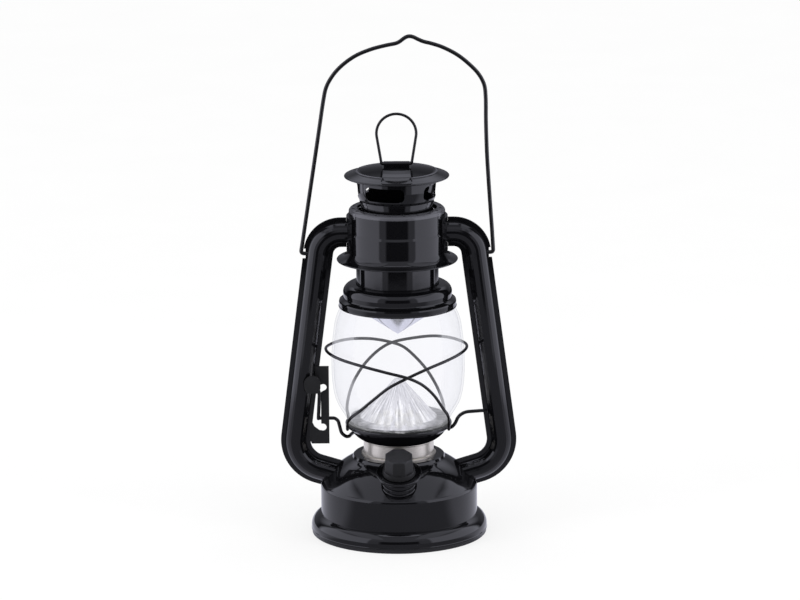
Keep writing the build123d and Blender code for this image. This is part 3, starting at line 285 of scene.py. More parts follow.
def thin_glass(name):
    """Clear blown glass that sees straight through. A pale emission, a painted reflection of the white surroundings,
    grows towards its edges; painted shade darkens the edges, a band above the foot and streaks round the foot, and
    the foot carries painted glints.
    """
    m, nt, out = new_material(name)
    co = object_coords(nt)
    ripple = noise(nt, co, 38.0, 2.0)
    seeds = noise(nt, co, 700.0, 1.0)
    b1 = bump(nt, ripple.outputs["Fac"], 0.05, 0.0012)
    b2 = bump(nt, seeds.outputs["Fac"], 0.012, 0.0002, b1.outputs["Normal"])
    lw = add(nt, "ShaderNodeLayerWeight")
    lw.inputs["Blend"].default_value = 0.5
    # painted shade: the see-through colour darkens to grey at grazing edges
    tint = ramp(nt, lw.outputs["Facing"], [
        (0.0, (0.990, 0.990, 0.998, 1)), (0.60, (0.985, 0.986, 0.995, 1)), (0.84, (0.955, 0.957, 0.968, 1)),
        (0.93, (0.86, 0.865, 0.885, 1)), (0.98, (0.60, 0.61, 0.64, 1)), (1.0, (0.35, 0.36, 0.39, 1)),
    ])
    sep = add(nt, "ShaderNodeSeparateXYZ")
    link(nt, co, sep.inputs[0])
    ang = math_node(nt, "ARCTAN2", sep.outputs["Y"], sep.outputs["X"])
    comb = add(nt, "ShaderNodeCombineXYZ")
    link(nt, math_node(nt, "MULTIPLY", ang.outputs[0], 0.9).outputs[0], comb.inputs["X"])
    link(nt, math_node(nt, "MULTIPLY", sep.outputs["Z"], 190.0).outputs[0], comb.inputs["Y"])
    lines = noise(nt, comb.outputs[0], 3.2, 4.0, 0.65)
    # painted shade: dark streaks multiplied into the see-through colour round the foot
    foot_painted_streaks = ramp(nt, lines.outputs["Fac"], [(0.36, grey(0.22)), (0.46, grey(0.80)), (0.56, grey(1.0))])
    foot = mapr(nt, sep.outputs["Z"], 0.0738, 0.0790, 0.85, 0.0, True)
    rimt = add(nt, "ShaderNodeMix", data_type="RGBA")
    rimt.blend_type = "MULTIPLY"
    link(nt, foot.outputs[0], rimt.inputs["Factor"])
    link(nt, tint.outputs["Color"], rimt.inputs["A"])
    link(nt, foot_painted_streaks.outputs["Color"], rimt.inputs["B"])
    # painted shade: a dark band painted just above the glass foot
    painted_shade_arc = mapr(nt, sep.outputs["Z"], 0.0738, 0.0748, 0.16, 1.0, True)
    arcc = add(nt, "ShaderNodeCombineColor")
    for i in range(3):
        link(nt, painted_shade_arc.outputs[0], arcc.inputs[i])
    rima = add(nt, "ShaderNodeMix", data_type="RGBA")
    rima.blend_type = "MULTIPLY"
    rima.inputs["Factor"].default_value = 1.0
    link(nt, rimt.outputs["Result"], rima.inputs["A"])
    link(nt, arcc.outputs[0], rima.inputs["B"])
    tr = add(nt, "ShaderNodeBsdfTransparent")
    link(nt, rima.outputs["Result"], tr.inputs["Color"])
    gl = add(nt, "ShaderNodeBsdfGlossy")
    gl.inputs["Roughness"].default_value = 0.03
    link(nt, b2.outputs["Normal"], gl.inputs["Normal"])
    # painted reflection: a pale emission stands in for the white surroundings seen in the glass
    painted_reflection_veil = add(nt, "ShaderNodeEmission")
    painted_reflection_veil.inputs["Color"].default_value = (0.93, 0.935, 0.975, 1)
    painted_reflection_veil.inputs["Strength"].default_value = 0.97
    refl = add(nt, "ShaderNodeMixShader")
    refl.inputs[0].default_value = 0.16
    link(nt, painted_reflection_veil.outputs[0], refl.inputs[1])
    link(nt, gl.outputs[0], refl.inputs[2])
    fr = add(nt, "ShaderNodeFresnel")
    fr.inputs["IOR"].default_value = 1.42
    link(nt, b2.outputs["Normal"], fr.inputs["Normal"])
    fac = mapr(nt, fr.outputs[0], 0.0, 1.0, 0.022, 0.20)
    # painted highlight: glints on the foot streaks raise the emission
    painted_glint = mapr(nt, lines.outputs["Fac"], 0.58, 0.66, 0.0, 0.55)
    glint_f = math_node(nt, "MULTIPLY", painted_glint.outputs[0], foot.outputs[0])
    fac = math_node(nt, "MAXIMUM", fac.outputs[0], glint_f.outputs[0])
    mix = add(nt, "ShaderNodeMixShader")
    link(nt, fac.outputs[0], mix.inputs[0])
    link(nt, tr.outputs[0], mix.inputs[1])
    link(nt, refl.outputs[0], mix.inputs[2])
    link(nt, mix.outputs[0], out.inputs["Surface"])
    return m


def prism_glass(name):
    """Clear fluted acrylic drawn with painted light: an emission paints bright streaks that fan out from the tip,
    with painted dark hairlines between them and a painted sparkle.
    """
    m, nt, out = new_material(name)
    co = object_coords(nt)
    sep = add(nt, "ShaderNodeSeparateXYZ")
    link(nt, co, sep.inputs[0])
    ang = math_node(nt, "ARCTAN2", sep.outputs["Y"], sep.outputs["X"])
    comb = add(nt, "ShaderNodeCombineXYZ")
    link(nt, ang.outputs[0], comb.inputs["X"])
    zz = math_node(nt, "MULTIPLY", sep.outputs["Z"], 5.0)
    link(nt, zz.outputs[0], comb.inputs["Y"])
    streak = noise(nt, comb.outputs[0], 11.0, 4.0, 0.62)
    line = noise(nt, comb.outputs[0], 30.0, 2.0, 0.6)
    glit = noise(nt, co, 620.0, 3.0, 0.6)
    painted_streak_tone = ramp(nt, streak.outputs["Fac"], [
        (0.28, (0.40, 0.40, 0.43, 1)), (0.40, (0.66, 0.66, 0.71, 1)), (0.49, (0.82, 0.82, 0.87, 1)),
        (0.56, (1.02, 1.02, 1.06, 1)), (0.64, (1.30, 1.30, 1.33, 1)),
    ])
    painted_hairlines = ramp(nt, line.outputs["Fac"], [(0.32, grey(0.40)), (0.41, grey(0.96)), (0.60, grey(1.0)), (0.68, grey(1.35))])
    painted_sparkle = ramp(nt, glit.outputs["Fac"], [(0.33, grey(0.88)), (0.55, grey(1.0)), (0.72, grey(1.08))])
    mul = add(nt, "ShaderNodeMix", data_type="RGBA")
    mul.blend_type = "MULTIPLY"
    mul.inputs["Factor"].default_value = 1.0
    link(nt, painted_streak_tone.outputs["Color"], mul.inputs["A"])
    link(nt, painted_hairlines.outputs["Color"], mul.inputs["B"])
    mul2 = add(nt, "ShaderNodeMix", data_type="RGBA")
    mul2.blend_type = "MULTIPLY"
    mul2.inputs["Factor"].default_value = 1.0
    link(nt, mul.outputs["Result"], mul2.inputs["A"])
    link(nt, painted_sparkle.outputs["Color"], mul2.inputs["B"])
    # flat flange under the cone: mostly grey, with a painted highlight patch at the front and painted dappled
    # reflections
    x2 = math_node(nt, "MULTIPLY", sep.outputs["X"], sep.outputs["X"])
    y2 = math_node(nt, "MULTIPLY", sep.outputs["Y"], sep.outputs["Y"])
    rr = math_node(nt, "SQRT", math_node(nt, "ADD", x2.outputs[0], y2.outputs[0]).outputs[0])
    flange = mapr(nt, rr.outputs[0], 0.0246, 0.0254, 0.0, 1.0)
    fwd = math_node(nt, "DIVIDE", sep.outputs["Y"], rr.outputs[0])
    painted_front_patch = mapr(nt, fwd.outputs[0], -0.96, -0.72, 0.62, 0.06, True)
    facet = noise(nt, comb.outputs[0], 5.0, 3.0, 0.7)
    painted_dapple = mapr(nt, facet.outputs["Fac"], 0.38, 0.62, 0.0, 0.34)
    fl = math_node(nt, "ADD", painted_front_patch.outputs[0], painted_dapple.outputs[0])
    flc = add(nt, "ShaderNodeCombineColor")
    link(nt, fl.outputs[0], flc.inputs[0])
    link(nt, fl.outputs[0], flc.inputs[1])
    link(nt, math_node(nt, "MULTIPLY", fl.outputs[0], 1.06).outputs[0], flc.inputs[2])
    full = add(nt, "ShaderNodeMix", data_type="RGBA")
    link(nt, flange.outputs[0], full.inputs["Factor"])
    link(nt, mul2.outputs["Result"], full.inputs["A"])
    link(nt, flc.outputs[0], full.inputs["B"])
    # painted light: the prism's streaks and flange glow as an emission mixed with see-through
    body = add(nt, "ShaderNodeEmission")
    link(nt, full.outputs["Result"], body.inputs["Color"])
    body.inputs["Strength"].default_value = 0.97
    tr = add(nt, "ShaderNodeBsdfTransparent")
    tr.inputs["Color"].default_value = (0.95, 0.95, 0.97, 1)
    m1 = add(nt, "ShaderNodeMixShader")
    m1.inputs[0].default_value = 0.58
    link(nt, tr.outputs[0], m1.inputs[1])
    link(nt, body.outputs[0], m1.inputs[2])
    b1 = bump(nt, streak.outputs["Fac"], 0.25, 0.0006)
    gl = add(nt, "ShaderNodeBsdfGlossy")
    gl.inputs["Roughness"].default_value = 0.06
    link(nt, b1.outputs["Normal"], gl.inputs["Normal"])
    fr = add(nt, "ShaderNodeFresnel")
    fr.inputs["IOR"].default_value = 1.40
    link(nt, b1.outputs["Normal"], fr.inputs["Normal"])
    fac = math_node(nt, "MULTIPLY", fr.outputs[0], 0.45)
    m3 = add(nt, "ShaderNodeMixShader")
    link(nt, fac.outputs[0], m3.inputs[0])
    link(nt, m1.outputs[0], m3.inputs[1])
    link(nt, gl.outputs[0], m3.inputs[2])
    link(nt, m3.outputs[0], out.inputs["Surface"])
    return m


def led_material(name):
    m, nt, out = new_material(name)
    co = object_coords(nt)
    sep = add(nt, "ShaderNodeSeparateXYZ")
    link(nt, co, sep.inputs[0])
    n = noise(nt, co, 1500.0, 3.0)
    hz = mapr(nt, sep.outputs["Z"], 0.0746, 0.0792, 0.0, 1.0)
    col = ramp(nt, hz.outputs[0], [(0.0, (0.80, 0.74, 0.42, 1)), (0.5, (0.92, 0.88, 0.62, 1)), (1.0, (0.95, 0.95, 0.90, 1))])
    p = add(nt, "ShaderNodeBsdfPrincipled")
    link(nt, col.outputs["Color"], p.inputs["Base Color"])
    p.inputs["Roughness"].default_value = 0.12
    b = bump(nt, n.outputs["Fac"], 0.08, 0.0001)
    link(nt, b.outputs["Normal"], p.inputs["Normal"])
    link(nt, p.outputs[0], out.inputs["Surface"])
    return m


def cell_can(name):
    m, nt, out = new_material(name)
    co = object_coords(nt)
    sep = add(nt, "ShaderNodeSeparateXYZ")
    link(nt, co, sep.inputs[0])
    n = noise(nt, co, 400.0, 3.0)
    band = mapr(nt, sep.outputs["X"], -0.012, 0.012, 0.0, 1.0)
    col = ramp(nt, band.outputs[0], [(0.0, (0.02, 0.022, 0.03, 1)), (0.48, (0.02, 0.022, 0.03, 1)), (0.52, (0.35, 0.27, 0.12, 1)), (1.0, (0.35, 0.27, 0.12, 1))])
    p = add(nt, "ShaderNodeBsdfPrincipled")
    link(nt, col.outputs["Color"], p.inputs["Base Color"])
    p.inputs["Metallic"].default_value = 0.6
    r = mapr(nt, n.outputs["Fac"], 0.3, 0.7, 0.2, 0.35)
    link(nt, r.outputs[0], p.inputs["Roughness"])
    link(nt, p.outputs[0], out.inputs["Surface"])
    return m


mats = {
    "black_enamel": enamel("black_enamel"),
    "satin_black": enamel("satin_black", base=0.0085, rough=0.36, peel=0.08, tint=(1, 1, 1.08)),
    "black_wire": enamel("black_wire", base=0.0028, rough=0.14, peel=0.03, tint=(1, 1, 1.10)),
    "black_plastic": plastic("black_plastic", (0.010, 0.010, 0.012), 0.38, 0.3),
    "knob_plastic": plastic("knob_plastic", (0.0085, 0.0085, 0.0095), 0.40, 0.20, 2200.0, 0.40),
    "brushed_steel": metal("brushed_steel", (0.83, 0.785, 0.70), 0.31, scale=1500.0, grain=0.22, radial=True),
    "clear_glass": thin_glass("clear_glass"),
    "clear_prism": prism_glass("clear_prism"),
    "mirror_metal": metal("mirror_metal", (0.90, 0.905, 0.92), 0.10, scale=500.0, grain=0.12),
    "led_epoxy": led_material("led_epoxy"),
    "circuit_board": plastic("circuit_board", (0.78, 0.79, 0.79), 0.35, 0.1, 1500.0),
    "lead_insulation": plastic("lead_insulation", (0.45, 0.03, 0.02), 0.4, 0.1, 1500.0),
    "spring_steel": metal("spring_steel", (0.62, 0.62, 0.61), 0.3, scale=1400.0, grain=0.2),
    "zinc": metal("zinc", (0.70, 0.71, 0.73), 0.32, scale=700.0, grain=0.25),
    "brass": metal("brass", (0.78, 0.58, 0.26), 0.26, streak=(1, 1, 6), scale=900.0, grain=0.25),
    "cell_can": cell_can("cell_can"),
}

# the same enamel lightened where it lies flat on the crown's top ring, painted light against the hood's shade, and
# on the pressed lid
ring_enamel_painted_light = enamel("black_enamel_top_ring_painted_light", base=0.060, rough=0.16, peel=0.03, tint=(1, 1, 1.18))
lid_enamel = enamel("black_enamel_lid", lid=True)
plate_enamel = enamel("black_enamel_plate", dull_below=0.0702)

slot_of = {s["node"]: s["material_slot"] for s in record["subparts"]}
for name, ob in nodes.items():
    ob.data.materials.clear()
    ob.data.materials.append(mats[slot_of[name]])
nodes["crown_top_ring"].data.materials[0] = ring_enamel_painted_light
nodes["hood_lid"].data.materials[0] = lid_enamel
nodes["globe_plate"].data.materials[0] = plate_enamel

# ---------------------------------------------------------------------------
# mesh builders
# ---------------------------------------------------------------------------


def obj_from(name, verts, faces, slot_name, body, smooth=True):
    me = bpy.data.meshes.new(name)
    me.from_pydata(verts, [], faces)
    me.validate()
    me.update()
    if smooth:
        me.polygons.foreach_set("use_smooth", [True] * len(me.polygons))
    ob = bpy.data.objects.new(name, me)
    bpy.context.scene.collection.objects.link(ob)
    me.materials.append(mats[slot_name])
    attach(ob, body)
    return ob


def catmull(pts, n=6, closed=False):
    """Smooth interpolation through 3-D points (tuples)."""
    P = [Vector(p) for p in pts]
    out = []
    m = len(P)
    segs = m if closed else m - 1
    for i in range(segs):
        if closed:
            p0, p1, p2, p3 = P[(i - 1) % m], P[i], P[(i + 1) % m], P[(i + 2) % m]
        else:
            p1, p2 = P[i], P[i + 1]
            p0 = P[i - 1] if i > 0 else p1 * 2 - p2
            p3 = P[i + 2] if i + 2 < m else p2 * 2 - p1
        d1 = max(1e-9, (p1 - p0).length ** 0.5)
        d2 = max(1e-9, (p2 - p1).length ** 0.5)
        d3 = max(1e-9, (p3 - p2).length ** 0.5)
        t1 = ((p1 - p0) / d1 - (p2 - p0) / (d1 + d2) + (p2 - p1) / d2) * d2
        t2 = ((p2 - p1) / d2 - (p3 - p1) / (d2 + d3) + (p3 - p2) / d3) * d2
        for k in range(n):
            t = k / n
            t2_, t3_ = t * t, t * t * t
            out.append(p1 * (2 * t3_ - 3 * t2_ + 1) + t1 * (t3_ - 2 * t2_ + t) + p2 * (-2 * t3_ + 3 * t2_) + t2 * (t3_ - t2_))
    if not closed:
        out.append(P[-1])
    return out


def wire(name, pts, radius, slot_name, body, seg=16, round_ends=True):
    """Round wire along pts (metres), parallel-transported, with domed ends."""
    P = [Vector(p) for p in pts]
    rings = []
    tang = []
    for i in range(len(P)):
        a = P[max(0, i - 1)]
        b = P[min(len(P) - 1, i + 1)]
        tang.append((b - a).normalized())
    ref = Vector((0, 0, 1)) if abs(tang[0].z) < 0.9 else Vector((1, 0, 0))
    u = tang[0].cross(ref).normalized()
    frames = []
    for i, t in enumerate(tang):
        u = (u - t * u.dot(t)).normalized()
        frames.append((P[i], t, u.copy(), t.cross(u).normalized()))
    if round_ends:
        p, t, u0, v0 = frames[0]
        rings += [(p - t * radius * math.sin(math.radians(a)), radius * math.cos(math.radians(a)), u0, v0) for a in (84, 55, 28)]
    rings += [(p, radius, uu, vv) for p, t, uu, vv in frames]
    if round_ends:
        p, t, u0, v0 = frames[-1]
        rings += [(p + t * radius * math.sin(math.radians(a)), radius * math.cos(math.radians(a)), u0, v0) for a in (28, 55, 84)]
    verts, faces = [], []
    for c, r, uu, vv in rings:
        for k in range(seg):
            a = 2 * math.pi * k / seg
            verts.append(tuple(c + uu * (r * math.cos(a)) + vv * (r * math.sin(a))))
    for i in range(len(rings) - 1):
        for k in range(seg):
            k2 = (k + 1) % seg
            faces.append((i * seg + k, i * seg + k2, (i + 1) * seg + k2, (i + 1) * seg + k))
    faces.append(tuple(range(seg - 1, -1, -1)))
    faces.append(tuple((len(rings) - 1) * seg + k for k in range(seg)))
    return obj_from(name, verts, faces, slot_name, body)


def lathe(name, profile, slot_name, body, seg=160, closed=True):
    """Closed (r, z) profile in mm turned round +Z."""
    verts, faces = [], []
    n = len(profile)
    for k in range(seg):
        a = 2 * math.pi * k / seg
        ca, sa = math.cos(a), math.sin(a)
        for r, z in profile:
            verts.append((r * ca * MM, r * sa * MM, z * MM))
    last = n if closed else n - 1
    for k in range(seg):
        k2 = (k + 1) % seg
        for i in range(last):
            j = (i + 1) % n
            faces.append((k * n + i, k2 * n + i, k2 * n + j, k * n + j))
    return obj_from(name, verts, faces, slot_name, body)


def smooth2d(pts, n=6):
    return [(v.x, v.y) for v in catmull([(a, b, 0) for a, b in pts], n)]


# ---------------------------------------------------------------------------
# globe: one smooth blown-glass wall with fire-polished rims
# ---------------------------------------------------------------------------

outer = smooth2d([
    (32.9, 73.0), (32.95, 74.4), (33.6, 76.4), (35.2, 79.5), (37.7, 83.6), (40.0, 87.9), (41.4, 92.2), (42.3, 96.6),
    (42.85, 101.0), (43.2, 106.0), (43.33, 112.0), (43.15, 120.0), (42.6, 128.3), (41.95, 134.2), (41.0, 140.4),
    (39.8, 144.8), (38.3, 148.3), (37.2, 150.6), (36.9, 152.4), (36.9, 154.6),
], 5)
inner = smooth2d([
    (35.6, 154.6), (35.6, 152.3), (35.95, 150.2), (37.0, 147.9), (38.5, 144.3), (39.7, 140.1), (40.65, 134.0), (41.3, 128.1),
    (41.85, 120.0), (42.03, 112.0), (41.9, 106.1), (41.5, 101.2), (41.0, 97.0), (40.1, 92.8), (38.7, 88.5), (36.5, 84.5),
    (34.0, 80.4), (32.4, 77.0), (31.7, 74.6), (31.6, 73.0),
], 5)
rim_top = [(36.9 - 0.65 + 0.65 * math.cos(math.radians(a)), 154.75 + 0.62 * math.sin(math.radians(a))) for a in range(15, 180, 15)]
rim_bot = [(32.25 - 0.65 * math.cos(math.radians(a)), 72.65 - 0.65 * math.sin(math.radians(a))) for a in range(0, 181, 15)]
globe_piece = lathe("globe_glass", outer + rim_top + inner + rim_bot, "clear_glass", "globe_carrier", 192)
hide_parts("globe")

# ---------------------------------------------------------------------------
# lid: pressed sheet with a rolled rim and a raised bead round its crown
# ---------------------------------------------------------------------------

lid_top = smooth2d([
    (34.0, 237.55), (33.9, 237.95), (33.4, 238.3), (32.0, 238.75), (30.0, 239.4), (28.2, 239.95), (27.3, 240.28), (26.8, 240.72),
    (26.2, 241.12), (25.5, 241.14), (24.9, 240.80), (24.2, 240.62), (22.4, 240.86), (19.0, 241.35), (12.0, 242.1), (6.0, 242.46),
    (0.05, 242.6),
], 5)
lid_under = smooth2d([
    (0.05, 241.9), (6.0, 241.76), (12.0, 241.4), (19.0, 240.65), (23.4, 239.95), (26.6, 239.7), (29.8, 238.7), (32.6, 237.85),
    (33.3, 237.35), (33.75, 237.2),
], 5)
lid_piece = lathe("hood_lid_pressed", lid_top + lid_under, "black_enamel", "hood", 192)
lid_piece.data.materials[0] = lid_enamel
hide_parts("hood_lid")

# ---------------------------------------------------------------------------
# guard wires
# ---------------------------------------------------------------------------


def pol(r, deg, z):
    a = math.radians(deg)
    return (r * math.sin(a) * MM, -r * math.cos(a) * MM, z * MM)


guard_a = (
    (66.0, 71.8, 35.75), (66.0, 73.4, 35.85), (64.8, 75.0, 36.2), (60.5, 78.2, 37.7), (51.0, 84.2, 41.0), (41.0, 90.8, 43.6),
    (30.0, 101.0, 45.9), (19.5, 109.0, 46.7), (8.2, 114.0, 46.95), (-8.7, 117.8, 47.0), (-29.0, 120.9, 47.0),
    (-51.5, 122.6, 47.0), (-70.0, 123.2, 47.0), (-90.0, 122.9, 47.0), (-109.0, 121.9, 47.0),
    (-127.3, 121.3, 47.0), (-144.4, 120.2, 47.0), (-161.0, 118.2, 47.0), (-176.2, 115.0, 46.95),
    (-184.6, 112.2, 46.8), (-194.5, 105.6, 46.4), (-204.5, 98.0, 45.3), (-214.5, 89.8, 43.2),
    (-225.0, 82.4, 40.1), (-232.5, 77.4, 37.6), (-235.6, 74.8, 36.1), (-236.0, 73.2, 35.85), (-236.0, 71.8, 35.75),
)
guard_b = (
    (-68.5, 71.8, 35.75), (-68.5, 73.4, 35.85), (-67.0, 75.0, 36.3), (-61.0, 78.0, 37.9), (-48.0, 83.8, 40.6), (-35.1, 90.0, 42.8),
    (-19.5, 99.9, 44.5), (-8.0, 107.2, 44.75), (6.5, 113.3, 44.85), (24.9, 118.8, 44.85), (44.0, 122.0, 44.85),
    (61.6, 123.6, 44.85), (80.0, 124.1, 44.85), (97.0, 123.7, 44.85), (111.6, 123.1, 44.85),
    (130.0, 122.6, 44.85), (148.2, 121.6, 44.85), (165.6, 119.2, 44.85), (184.6, 115.9, 44.85),
    (194.5, 112.2, 44.85), (205.0, 106.0, 44.8), (213.7, 99.6, 44.5), (224.0, 91.5, 43.2),
    (235.5, 82.6, 40.2), (243.0, 77.4, 37.9), (246.2, 74.8, 36.2), (246.5, 73.2, 35.85), (246.5, 71.8, 35.75),
)
for nm, st, node in (("guard_wire_front_left", guard_a, "guard_wire_a"), ("guard_wire_front_right", guard_b, "guard_wire_b")):
    w = wire(nm, catmull([pol(r, a, z) for a, z, r in st], 6), 1.0 * MM, "black_wire", "globe_carrier")
    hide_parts(node)

# ---------------------------------------------------------------------------
# bail: hand-bent wire with long rounded shoulders and a kink at the crest
# ---------------------------------------------------------------------------

bail_pts = [
    (-56.4, 186.5), (-58.5, 186.5), (-60.6, 186.5), (-61.6, 186.85), (-62.1, 187.7), (-62.02, 189.2), (-61.5, 192.3),
    (-58.74, 210.0), (-55.62, 230.0), (-52.5, 250.0), (-49.4, 270.0), (-46.6, 288.0), (-45.0, 295.2), (-41.9, 301.4),
    (-36.4, 308.2), (-26.6, 315.7), (-15.8, 320.3), (-6.2, 322.8), (0.4, 324.15), (2.6, 325.2), (4.9, 326.95), (7.0, 328.2),
    (9.0, 328.6), (11.2, 328.15), (14.2, 326.7), (17.6, 325.2), (23.0, 323.8), (30.0, 321.4), (39.4, 316.4), (47.0, 310.3),
    (53.3, 303.5), (56.7, 296.7), (57.6, 289.5), (57.75, 273.0), (58.3, 253.0), (59.2, 236.0), (60.4, 217.0), (61.4, 202.0),
    (61.95, 192.3), (62.1, 189.2), (62.1, 187.7), (61.6, 186.85), (60.6, 186.5), (58.5, 186.5), (56.4, 186.5),
]
bail_piece = wire("bail_bent_wire", catmull([(x * MM, 0.0, z * MM) for x, z in bail_pts], 6), 1.3 * MM, slot_of["bail"], "bail", 20)
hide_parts("bail")

# ---------------------------------------------------------------------------
# hood spring in two halves: the upper one is fixed to the frame, the lower one rides the globe carrier
# ---------------------------------------------------------------------------

SPRING_LOW, SPRING_MID, SPRING_TOP, SPRING_PITCH, SPRING_R = 191.75, 203.9, 215.15, 4.05, 28.0


def coil(name, z0, z1, body):
    n = int((z1 - z0) / SPRING_PITCH * 56) + 1
    pts = []
    for i in range(n):
        z = z0 + (z1 - z0) * i / (n - 1)
        a = 2 * math.pi * (z - SPRING_LOW) / SPRING_PITCH
        pts.append((SPRING_R * math.cos(a) * MM, SPRING_R * math.sin(a) * MM, z * MM))
    return wire(name, pts, 0.7 * MM, "spring_steel", body, 10)


spring_up = coil("hood_spring_upper", SPRING_MID, SPRING_TOP, "frame")
spring_low = coil("hood_spring_lower", SPRING_LOW, SPRING_MID, "globe_carrier")
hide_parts("hood_spring")
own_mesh(spring_up)
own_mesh(spring_low)

# ---------------------------------------------------------------------------
# floor, world, lights, camera
# ---------------------------------------------------------------------------

PANEL = 1.5
NEAR = 0.33


def panel_mask(nt, az):
    """Two tall light panels, one each side, seen by azimuth from the front."""
    rise = mapr(nt, az, math.radians(38), math.radians(45), 0.0, 1.0, True)
    lobe = mapr(nt, az, math.radians(23), math.radians(29), 0.0, 0.34, True)
    rise = math_node(nt, "MAXIMUM", rise.outputs[0], lobe.outputs[0])
    fall = mapr(nt, az, math.radians(122), math.radians(134), 1.0, 0.0, True)
    return math_node(nt, "MULTIPLY", rise.outputs[0], fall.outputs[0])


def front_azimuth(nt, vec):
    sep = nt.nodes.new("ShaderNodeSeparateXYZ")
    link(nt, vec, sep.inputs[0])
    neg = math_node(nt, "MULTIPLY", sep.outputs["Y"], -1.0)
    az = math_node(nt, "ARCTAN2", sep.outputs["X"], neg.outputs[0])
    return sep, math_node(nt, "ABSOLUTE", az.outputs[0]).outputs[0]


fm, fnt, fout = new_material("studio_floor")
fco = object_coords(fnt)
fn = noise(fnt, fco, 12.0, 3.0)
fcol = ramp(fnt, fn.outputs["Fac"], [(0.3, grey(0.90)), (0.7, grey(0.93))])
fd = add(fnt, "ShaderNodeBsdfDiffuse")
link(fnt, fcol.outputs["Color"], fd.inputs["Color"])
fe = add(fnt, "ShaderNodeEmission")
fe.inputs["Color"].default_value = (1, 1, 1, 1)
fe.inputs["Strength"].default_value = 1.0
fmix = add(fnt, "ShaderNodeMixShader")
fmix.inputs[0].default_value = 0.72
link(fnt, fd.outputs[0], fmix.inputs[1])
link(fnt, fe.outputs[0], fmix.inputs[2])
# what the polished enamel sees of the floor: a grey sweep near the lamp, the panels' light further out
fsep, faz = front_azimuth(fnt, fco)
fx2 = math_node(fnt, "MULTIPLY", fsep.outputs["X"], fsep.outputs["X"])
fy2 = math_node(fnt, "MULTIPLY", fsep.outputs["Y"], fsep.outputs["Y"])
fr2 = math_node(fnt, "ADD", fx2.outputs[0], fy2.outputs[0])
frad = math_node(fnt, "SQRT", fr2.outputs[0])
fpan = panel_mask(fnt, faz)
ffar = mapr(fnt, fpan.outputs[0], 0.0, 1.0, 0.02, PANEL)
fnear = mapr(fnt, faz, math.radians(55), math.radians(75), NEAR, 0.85, True)
fsw = mapr(fnt, frad.outputs[0], 0.70, 0.80, 0.0, 1.0, True)
fst = add(fnt, "ShaderNodeMix", data_type="FLOAT")
link(fnt, fsw.outputs[0], fst.inputs["Factor"])
link(fnt, fnear.outputs[0], fst.inputs["A"])
link(fnt, ffar.outputs[0], fst.inputs["B"])
fg = add(fnt, "ShaderNodeEmission")
fg.inputs["Color"].default_value = (0.86, 0.865, 1.0, 1)
link(fnt, fst.outputs["Result"], fg.inputs["Strength"])
flp = fnt.nodes.new("ShaderNodeLightPath")
fsel = add(fnt, "ShaderNodeMixShader")
link(fnt, flp.outputs["Is Glossy Ray"], fsel.inputs[0])
link(fnt, fmix.outputs[0], fsel.inputs[1])
link(fnt, fg.outputs[0], fsel.inputs[2])
fback = fnt.nodes.new("ShaderNodeNewGeometry")
fclear = add(fnt, "ShaderNodeBsdfTransparent")
ftwo = add(fnt, "ShaderNodeMixShader")
link(fnt, fback.outputs["Backfacing"], ftwo.inputs[0])
link(fnt, fsel.outputs[0], ftwo.inputs[1])
link(fnt, fclear.outputs[0], ftwo.inputs[2])
link(fnt, ftwo.outputs[0], fout.inputs["Surface"])
floor_me = bpy.data.meshes.new("studio_floor")
floor_me.from_pydata([(-4, -4, 0), (4, -4, 0), (4, 6, 0), (-4, 6, 0)], [], [(0, 1, 2, 3)])
floor = bpy.data.objects.new("studio_floor", floor_me)
floor_me.materials.append(fm)
bpy.context.scene.collection.objects.link(floor)

world = bpy.data.worlds.new("studio")
bpy.context.scene.world = world
world.use_nodes = True
wt = world.node_tree
wt.nodes.clear()
wout = wt.nodes.new("ShaderNodeOutputWorld")
geo = wt.nodes.new("ShaderNodeTexCoord")
sep, waz = front_azimuth(wt, geo.outputs["Generated"])
ax = math_node(wt, "ABSOLUTE", sep.outputs["X"])
pan = panel_mask(wt, waz)
low = mapr(wt, sep.outputs["Z"], 0.62, 0.80, PANEL, 0.0, True)
pan_s = math_node(wt, "MULTIPLY", pan.outputs[0], low.outputs[0])
back = mapr(wt, waz, math.radians(126), math.radians(150), 0.0, 1.0, True)
back_z = mapr(wt, sep.outputs["Z"], 0.30, 0.62, 0.16, 0.95, True)
back_s = math_node(wt, "MULTIPLY", back.outputs[0], back_z.outputs[0])
over_z = mapr(wt, sep.outputs["Z"], 0.60, 0.72, 0.0, 1.0, True)
over_a = mapr(wt, ax.outputs[0], 0.24, 0.32, 0.0, 1.0, True)
over_b = mapr(wt, ax.outputs[0], 0.60, 0.72, 1.0, 0.0, True)
over_s = math_node(wt, "MULTIPLY", over_a.outputs[0], over_b.outputs[0])
over_s = math_node(wt, "MULTIPLY", over_s.outputs[0], over_z.outputs[0])
fro_y = mapr(wt, sep.outputs["Y"], -0.30, -0.12, 0.60, 0.0, True)
fro_z = mapr(wt, sep.outputs["Z"], 0.36, 0.46, 0.0, 1.0, True)
fro_s = math_node(wt, "MULTIPLY", fro_y.outputs[0], fro_z.outputs[0])
m_a = math_node(wt, "MAXIMUM", pan_s.outputs[0], back_s.outputs[0])
m_b = math_node(wt, "MAXIMUM", over_s.outputs[0], fro_s.outputs[0])
zen_z = mapr(wt, sep.outputs["Z"], 0.955, 0.975, 0.0, 1.5, True)
zen_y = mapr(wt, math_node(wt, "ABSOLUTE", sep.outputs["Y"]).outputs[0], 0.14, 0.19, 1.0, 0.0, True)
zen_s = math_node(wt, "MULTIPLY", zen_z.outputs[0], zen_y.outputs[0])
m_c = math_node(wt, "MAXIMUM", m_a.outputs[0], m_b.outputs[0])
m_c = math_node(wt, "MAXIMUM", m_c.outputs[0], zen_s.outputs[0])
strength = math_node(wt, "MAXIMUM", m_c.outputs[0], 0.02)
lp = wt.nodes.new("ShaderNodeLightPath")
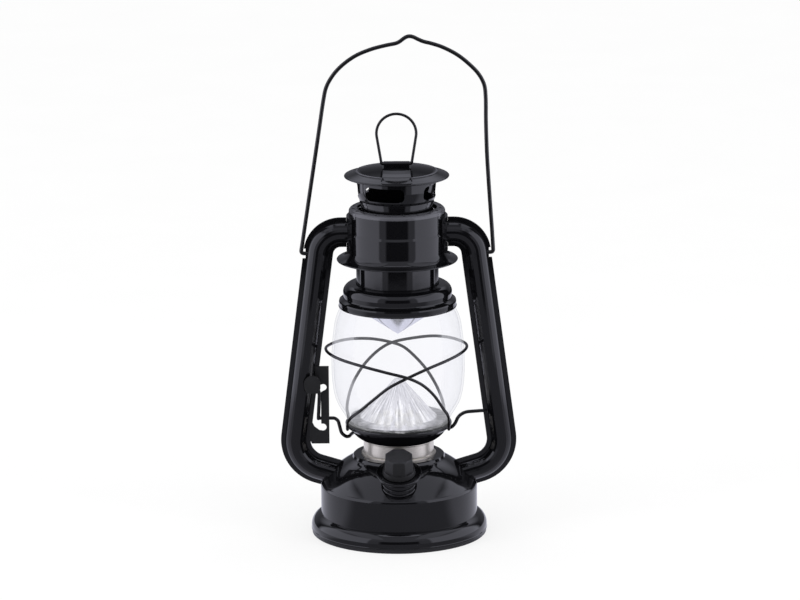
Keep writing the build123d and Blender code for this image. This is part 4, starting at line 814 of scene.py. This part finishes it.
bg_gloss = add(wt, "ShaderNodeBackground")
bg_gloss.inputs["Color"].default_value = (0.86, 0.87, 1.0, 1)
link(wt, strength.outputs[0], bg_gloss.inputs["Strength"])
bg_cam = add(wt, "ShaderNodeBackground")
bg_cam.inputs["Color"].default_value = (1, 1, 1, 1)
bg_cam.inputs["Strength"].default_value = 1.0
mixw = add(wt, "ShaderNodeMixShader")
notgloss = math_node(wt, "SUBTRACT", 1.0, lp.outputs["Is Glossy Ray"])
link(wt, notgloss.outputs[0], mixw.inputs[0])
link(wt, bg_gloss.outputs[0], mixw.inputs[1])
link(wt, bg_cam.outputs[0], mixw.inputs[2])
link(wt, mixw.outputs[0], wout.inputs["Surface"])


def area(name, loc, target, size, energy, color=(1, 1, 1)):
    ld = bpy.data.lights.new(name, "AREA")
    ld.shape = "RECTANGLE"
    ld.size, ld.size_y = size
    ld.energy = energy
    ld.color = color
    lo = bpy.data.objects.new(name, ld)
    lo.location = loc
    d = Vector(target) - Vector(loc)
    lo.rotation_euler = d.to_track_quat("-Z", "Y").to_euler()
    lo.visible_glossy = False
    bpy.context.scene.collection.objects.link(lo)
    return lo


area("soft_left", (-1.5, -0.9, 0.75), (0, 0, 0.16), (0.5, 1.2), 9.0)
area("soft_right", (1.5, -0.9, 0.75), (0, 0, 0.16), (0.5, 1.2), 8.0)

cam_data = bpy.data.cameras.new("camera")
cam = bpy.data.objects.new("camera", cam_data)
bpy.context.scene.collection.objects.link(cam)
D, H, ZC = 3.0, 0.86, 0.155
pitch = math.atan2(H - ZC, D)
roll = math.radians(-0.45)
cam.matrix_world = (
    Matrix.Translation((0, -D, H)) @ Matrix.Rotation(math.pi / 2 - pitch, 4, "X") @ Matrix.Rotation(roll, 4, "Z")
)
cam_data.sensor_width = 36.0
cam_data.lens = 4746.0 * 36.0 / 800.0
cam_data.shift_x = 0.003
cam_data.clip_start = 0.05
cam_data.clip_end = 50.0
bpy.context.scene.camera = cam

bpy.context.scene.view_settings.view_transform = "Standard"
